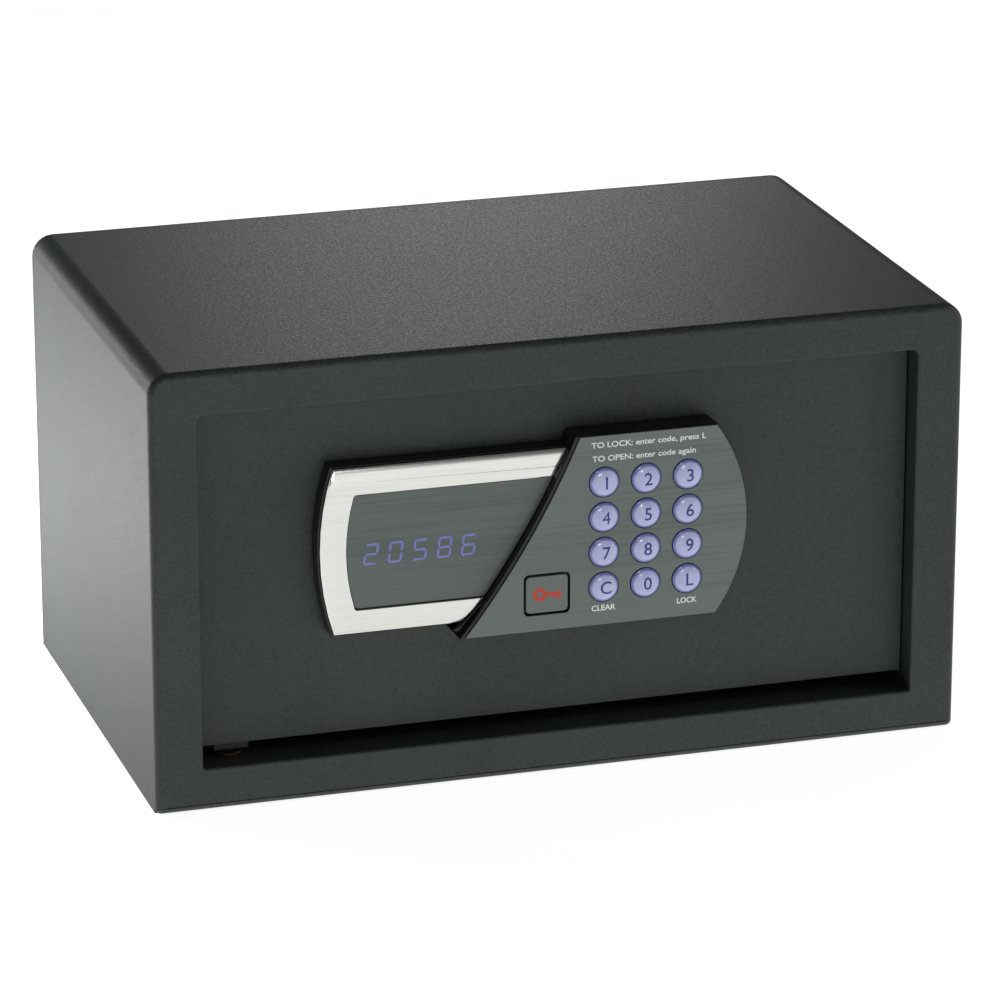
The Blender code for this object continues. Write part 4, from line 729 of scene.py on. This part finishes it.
# ------------------------------------------------------------------ bolt work
# Pressed and turned steel parts on the back of the door, all bright zinc plated: the sliding carriage with
# its rack, two round bolts with rounded noses, their guide, and the studs.  The pinion is brass.
nose = 2.2 * mm
for node in ("lower_bolt", "upper_bolt"):
    low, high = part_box(node)
    radius, length = (high.z - low.z) / 2, high.x - low.x
    section = [(0, 0), (radius, 0)]
    for degrees in range(0, 91, 15):
        turn = math.radians(degrees)
        section.append((radius - nose * (1 - math.cos(turn)), length - nose * (1 - math.sin(turn))))
    section.append((0, length))
    bolt = turn_piece(section, (low.x, (low.y + high.y) / 2, (low.z + high.z) / 2), "X")
    show("turned_" + node, bolt, zinc, "bolts", [node])
softened("bolt_carriage", "sliding_carriage", zinc, "bolts", 0.15 * mm, 1)
softened("bolt_guide", "bolt_guide_angle", zinc, "door", 0.3 * mm)
softened("guide_stud_1", "lower_slot_stud", zinc, "door", 0.2 * mm)
softened("guide_stud_2", "upper_slot_stud", zinc, "door", 0.2 * mm)
softened("gear_motor", "gear_motor_case", zinc, "door", 0.4 * mm)
softened("motor_bracket", "folded_motor_bracket", zinc, "door", 0.2 * mm)
softened("motor_pinion", "cut_pinion", brass, "pinion", 0)
softened("bolt_switch", "bolt_microswitch", black_abs, "door", 0.25 * mm)


# ------------------------------------------------------------------ electronics
# Green glass-epoxy boards with solder mask over their tracks, and a grey flat cable between the display
# and the main board.
# Solder mask on glass-epoxy: glossy green, paler over copper tracks 2.5 mm apart and 6.5 mm between joins.
solder_mask, tree, on_piece = start_finish("green_solder_mask")
turned = add_node(tree, "ShaderNodeMapping", {
    "Vector": on_piece, "Rotation": (math.pi / 2, 0, 0), "Scale": (1 / (2.5 * mm),) * 3})
tracks = add_node(tree, "ShaderNodeTexBrick", {
    "Vector": turned, "Color1": linear("#0e4f2c"), "Color2": linear("#0b4426"), "Mortar": linear("#2f8a55"),
    "Scale": 1.0, "Mortar Size": 0.08, "Brick Width": 2.6, "Row Height": 1.0})
shader = add_node(tree, "ShaderNodeBsdfPrincipled", {
    "Base Color": tracks, "Roughness": 0.3, "Coat Weight": 0.3})
add_node(tree, "ShaderNodeOutputMaterial", {"Surface": shader})
for node in ("display_module", "keypad_board", "control_board"):
    softened(node, node + "_assembly", solder_mask, "door", 0.15 * mm)

# PVC flat cable: pale grey ribs, one over each conductor, 1.27 mm apart.
flat_pvc, tree, on_piece = start_finish("grey_flat_cable_pvc")
ribs = add_node(tree, "ShaderNodeTexWave", {
    "Vector": on_piece, "Scale": 0.314 / (1.27 * mm)}, bands_direction="Z")
tone = add_node(tree, "ShaderNodeValToRGB", {"Fac": ribs}, ((0.1, "#7e8385"), (0.9, "#a9aeb0")))
ridges = add_node(tree, "ShaderNodeBump", {"Height": ribs, "Strength": 0.4, "Distance": 0.2 * mm})
shader = add_node(tree, "ShaderNodeBsdfPrincipled", {
    "Base Color": tone, "Roughness": 0.45, "Normal": ridges})
add_node(tree, "ShaderNodeOutputMaterial", {"Surface": shader})
softened("ribbon_cable", "flat_cable", flat_pvc, "door", 0)


# ------------------------------------------------------------------ batteries
# Four AA cells, steel cans in printed plastic sleeves, lie side by side and head to tail in a tray of black
# ABS, which is moulded in one piece and fixed to the back of the door.
def shrink_sleeve(name, band_low, band_high):
    """Shrunk PVC sleeve: dark and glossy, with a copper-coloured band towards the cell's positive end."""
    sleeve, tree, on_piece = start_finish(name)
    height = add_node(tree, "ShaderNodeSeparateXYZ", {"Vector": on_piece}).outputs["Z"]
    above = add_node(tree, "ShaderNodeMath", {0: height, 1: band_low}, operation="GREATER_THAN")
    below = add_node(tree, "ShaderNodeMath", {0: height, 1: band_high}, operation="LESS_THAN")
    band = add_node(tree, "ShaderNodeMath", {0: above, 1: below}, operation="MULTIPLY")
    tone = add_node(tree, "ShaderNodeValToRGB", {"Fac": band}, ((0.4, "#1d2024"), (0.6, "#b0703c")))
    shader = add_node(tree, "ShaderNodeBsdfPrincipled", {
        "Base Color": tone, "Roughness": 0.28, "Coat Weight": 0.3})
    add_node(tree, "ShaderNodeOutputMaterial", {"Surface": shader})
    return sleeve


cell_low, cell_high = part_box("battery_cell_1")
band_top, band_end = 1.3 * mm, 16 * mm
sleeves = (shrink_sleeve("sleeve_with_band_below", cell_low.z + band_top, cell_low.z + band_end),
           shrink_sleeve("sleeve_with_band_above", cell_high.z - band_end, cell_high.z - band_top))
for number in range(1, 5):
    sleeve = sleeves[number % 2]
    softened(f"battery_cell_{number}", f"sleeved_cell_{number}", sleeve, "door", 0)


def mould_abs(name, dark, pale):
    """ABS from a spark-eroded mould: satin, with a grain of 0.6 mm."""
    moulded, tree, on_piece = start_finish(name)
    grain = add_node(tree, "ShaderNodeTexNoise", {
        "Vector": on_piece, "Scale": 1 / (0.6 * mm), "Detail": 2.0})
    tone = add_node(tree, "ShaderNodeValToRGB", {"Fac": grain}, ((0.3, dark), (0.7, pale)))
    relief = add_node(tree, "ShaderNodeBump", {"Height": grain, "Strength": 0.25, "Distance": 0.12 * mm})
    shader = add_node(tree, "ShaderNodeBsdfPrincipled", {
        "Base Color": tone, "Roughness": 0.5, "Normal": relief})
    add_node(tree, "ShaderNodeOutputMaterial", {"Surface": shader})
    return moulded


tray_abs = mould_abs("satin_black_abs", "#131617", "#1e2223")
softened("battery_box", "battery_tray", tray_abs, "door", 0.3 * mm)


# ------------------------------------------------------------------ inner cover and battery hatch
# A moulded grey ABS cover over the whole mechanism, with rounded corners and a flange at each side for its
# screws.  Its battery hatch turns on pips along the lower edge.
grey_abs = mould_abs("satin_grey_abs", "#4b5052", "#5d6466")
softened("inner_cover", "mechanism_cover", grey_abs, "door", 0.6 * mm, 3)
softened("battery_lid", "battery_hatch", grey_abs, "lid", 0.35 * mm, 3)


# ------------------------------------------------------------------ cover screws
# Four steel pan-head screws, M4, hold the cover down by its flanges.  Their heads are formed cold and
# punched with a cross recess, and they are plated with bright zinc.
thread_radius, head_radius, head_height = 2 * mm, 3.5 * mm, 2 * mm
recess, arm, slot_half = 1.3 * mm, 2 * mm, 0.45 * mm
for number in range(1, 5):
    node = f"cover_screw_{number}"
    low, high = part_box(node)
    x, z, length = (low.x + high.x) / 2, (low.z + high.z) / 2, high.y - low.y
    section = [(0, 0), (thread_radius, 0), (thread_radius, length - head_height),
               (head_radius, length - head_height), (head_radius, length - 1.3 * mm),
               (0.9 * head_radius, length - 0.6 * mm),
               (0.63 * head_radius, length - 0.15 * mm), (0, length)]
    punches = [new_box((x - across, high.y - recess, z - up), (x + across, high.y + mm, z + up))
               for across, up in ((arm, slot_half), (slot_half, arm))]
    screw = carve(turn_piece(section, (x, low.y, z), "Y", 32), *punches)
    show(f"pan_head_screw_{number}", screw, zinc, "door", [node])


# ------------------------------------------------------------------ stage, light and camera
# The safe stands on a table of white acrylic that is lit from below.  A small softbox close behind it gives
# the roof its sheen, another brightens the table beside its left wall, and two weak ones fill in the door.
acrylic, tree, on_piece = start_finish("lit_white_acrylic")
shader = add_node(tree, "ShaderNodeBsdfPrincipled", {
    "Base Color": linear("#e6e6e4"), "Roughness": 0.9, "Specular IOR Level": 0.1,
    "Emission Color": linear("#fdfffd"), "Emission Strength": 0.86})
add_node(tree, "ShaderNodeOutputMaterial", {"Surface": shader})
table = bmesh.new()
bmesh.ops.create_grid(table, x_segments=1, y_segments=1, size=8.0)
bmesh.ops.translate(table, vec=(0, 0, -0.2 * mm), verts=table.verts)
mesh = bpy.data.meshes.new("light_table")
table.to_mesh(mesh)
table.free()
mesh.materials.append(acrylic)
light_table = bpy.data.objects.new("light_table", mesh)
bpy.context.scene.collection.objects.link(light_table)

world = bpy.data.worlds.new("dim_studio")
bpy.context.scene.world = world
world.use_nodes = True
world.node_tree.nodes["Background"].inputs["Color"].default_value = linear("#dfe6e6")
world.node_tree.nodes["Background"].inputs["Strength"].default_value = 0.15


def softbox(name, place, target, width, height, power):
    """A rectangular light that faces a target and isn't seen itself."""
    lamp = bpy.data.lights.new(name, "AREA")
    lamp.shape, lamp.size, lamp.size_y, lamp.energy = "RECTANGLE", width, height, power
    hung = bpy.data.objects.new(name, lamp)
    bpy.context.scene.collection.objects.link(hung)
    hung.location = place
    hung.rotation_euler = (Vector(target) - Vector(place)).to_track_quat("-Z", "Y").to_euler()
    hung.visible_camera = False


roof_middle = (0, 0, case_top)
door_middle = (0, face_y, case_top / 2)
softbox("roof_sheen_light", (0.38, 1.3, 0.62), roof_middle, 0.4, 0.3, 1.7)
softbox("left_table_light", (-0.5, 0.35, 0.26), (-0.5, 0.35, 0), 0.3, 0.3, 4.8)
softbox("front_light", (0.1, -2.3, 0.4), door_middle, 0.3, 0.3, 3)
softbox("right_fill_light", (2.2, -0.8, 1.0), door_middle, 1.2, 1.2, 12)

camera = bpy.data.cameras.new("camera")
camera.lens = 194.6
camera.clip_end = 30
camera.dof.use_dof = False
viewer = bpy.data.objects.new("camera", camera)
bpy.context.scene.collection.objects.link(viewer)
viewer.location = (-0.73796, -2.41507, 0.95310)
turn_right, tilt_down = 0.29832, 0.32643
viewer.rotation_euler = (math.pi / 2 - tilt_down, 0, -turn_right)
bpy.context.scene.camera = viewer
bpy.context.scene.view_settings.view_transform = "Standard"
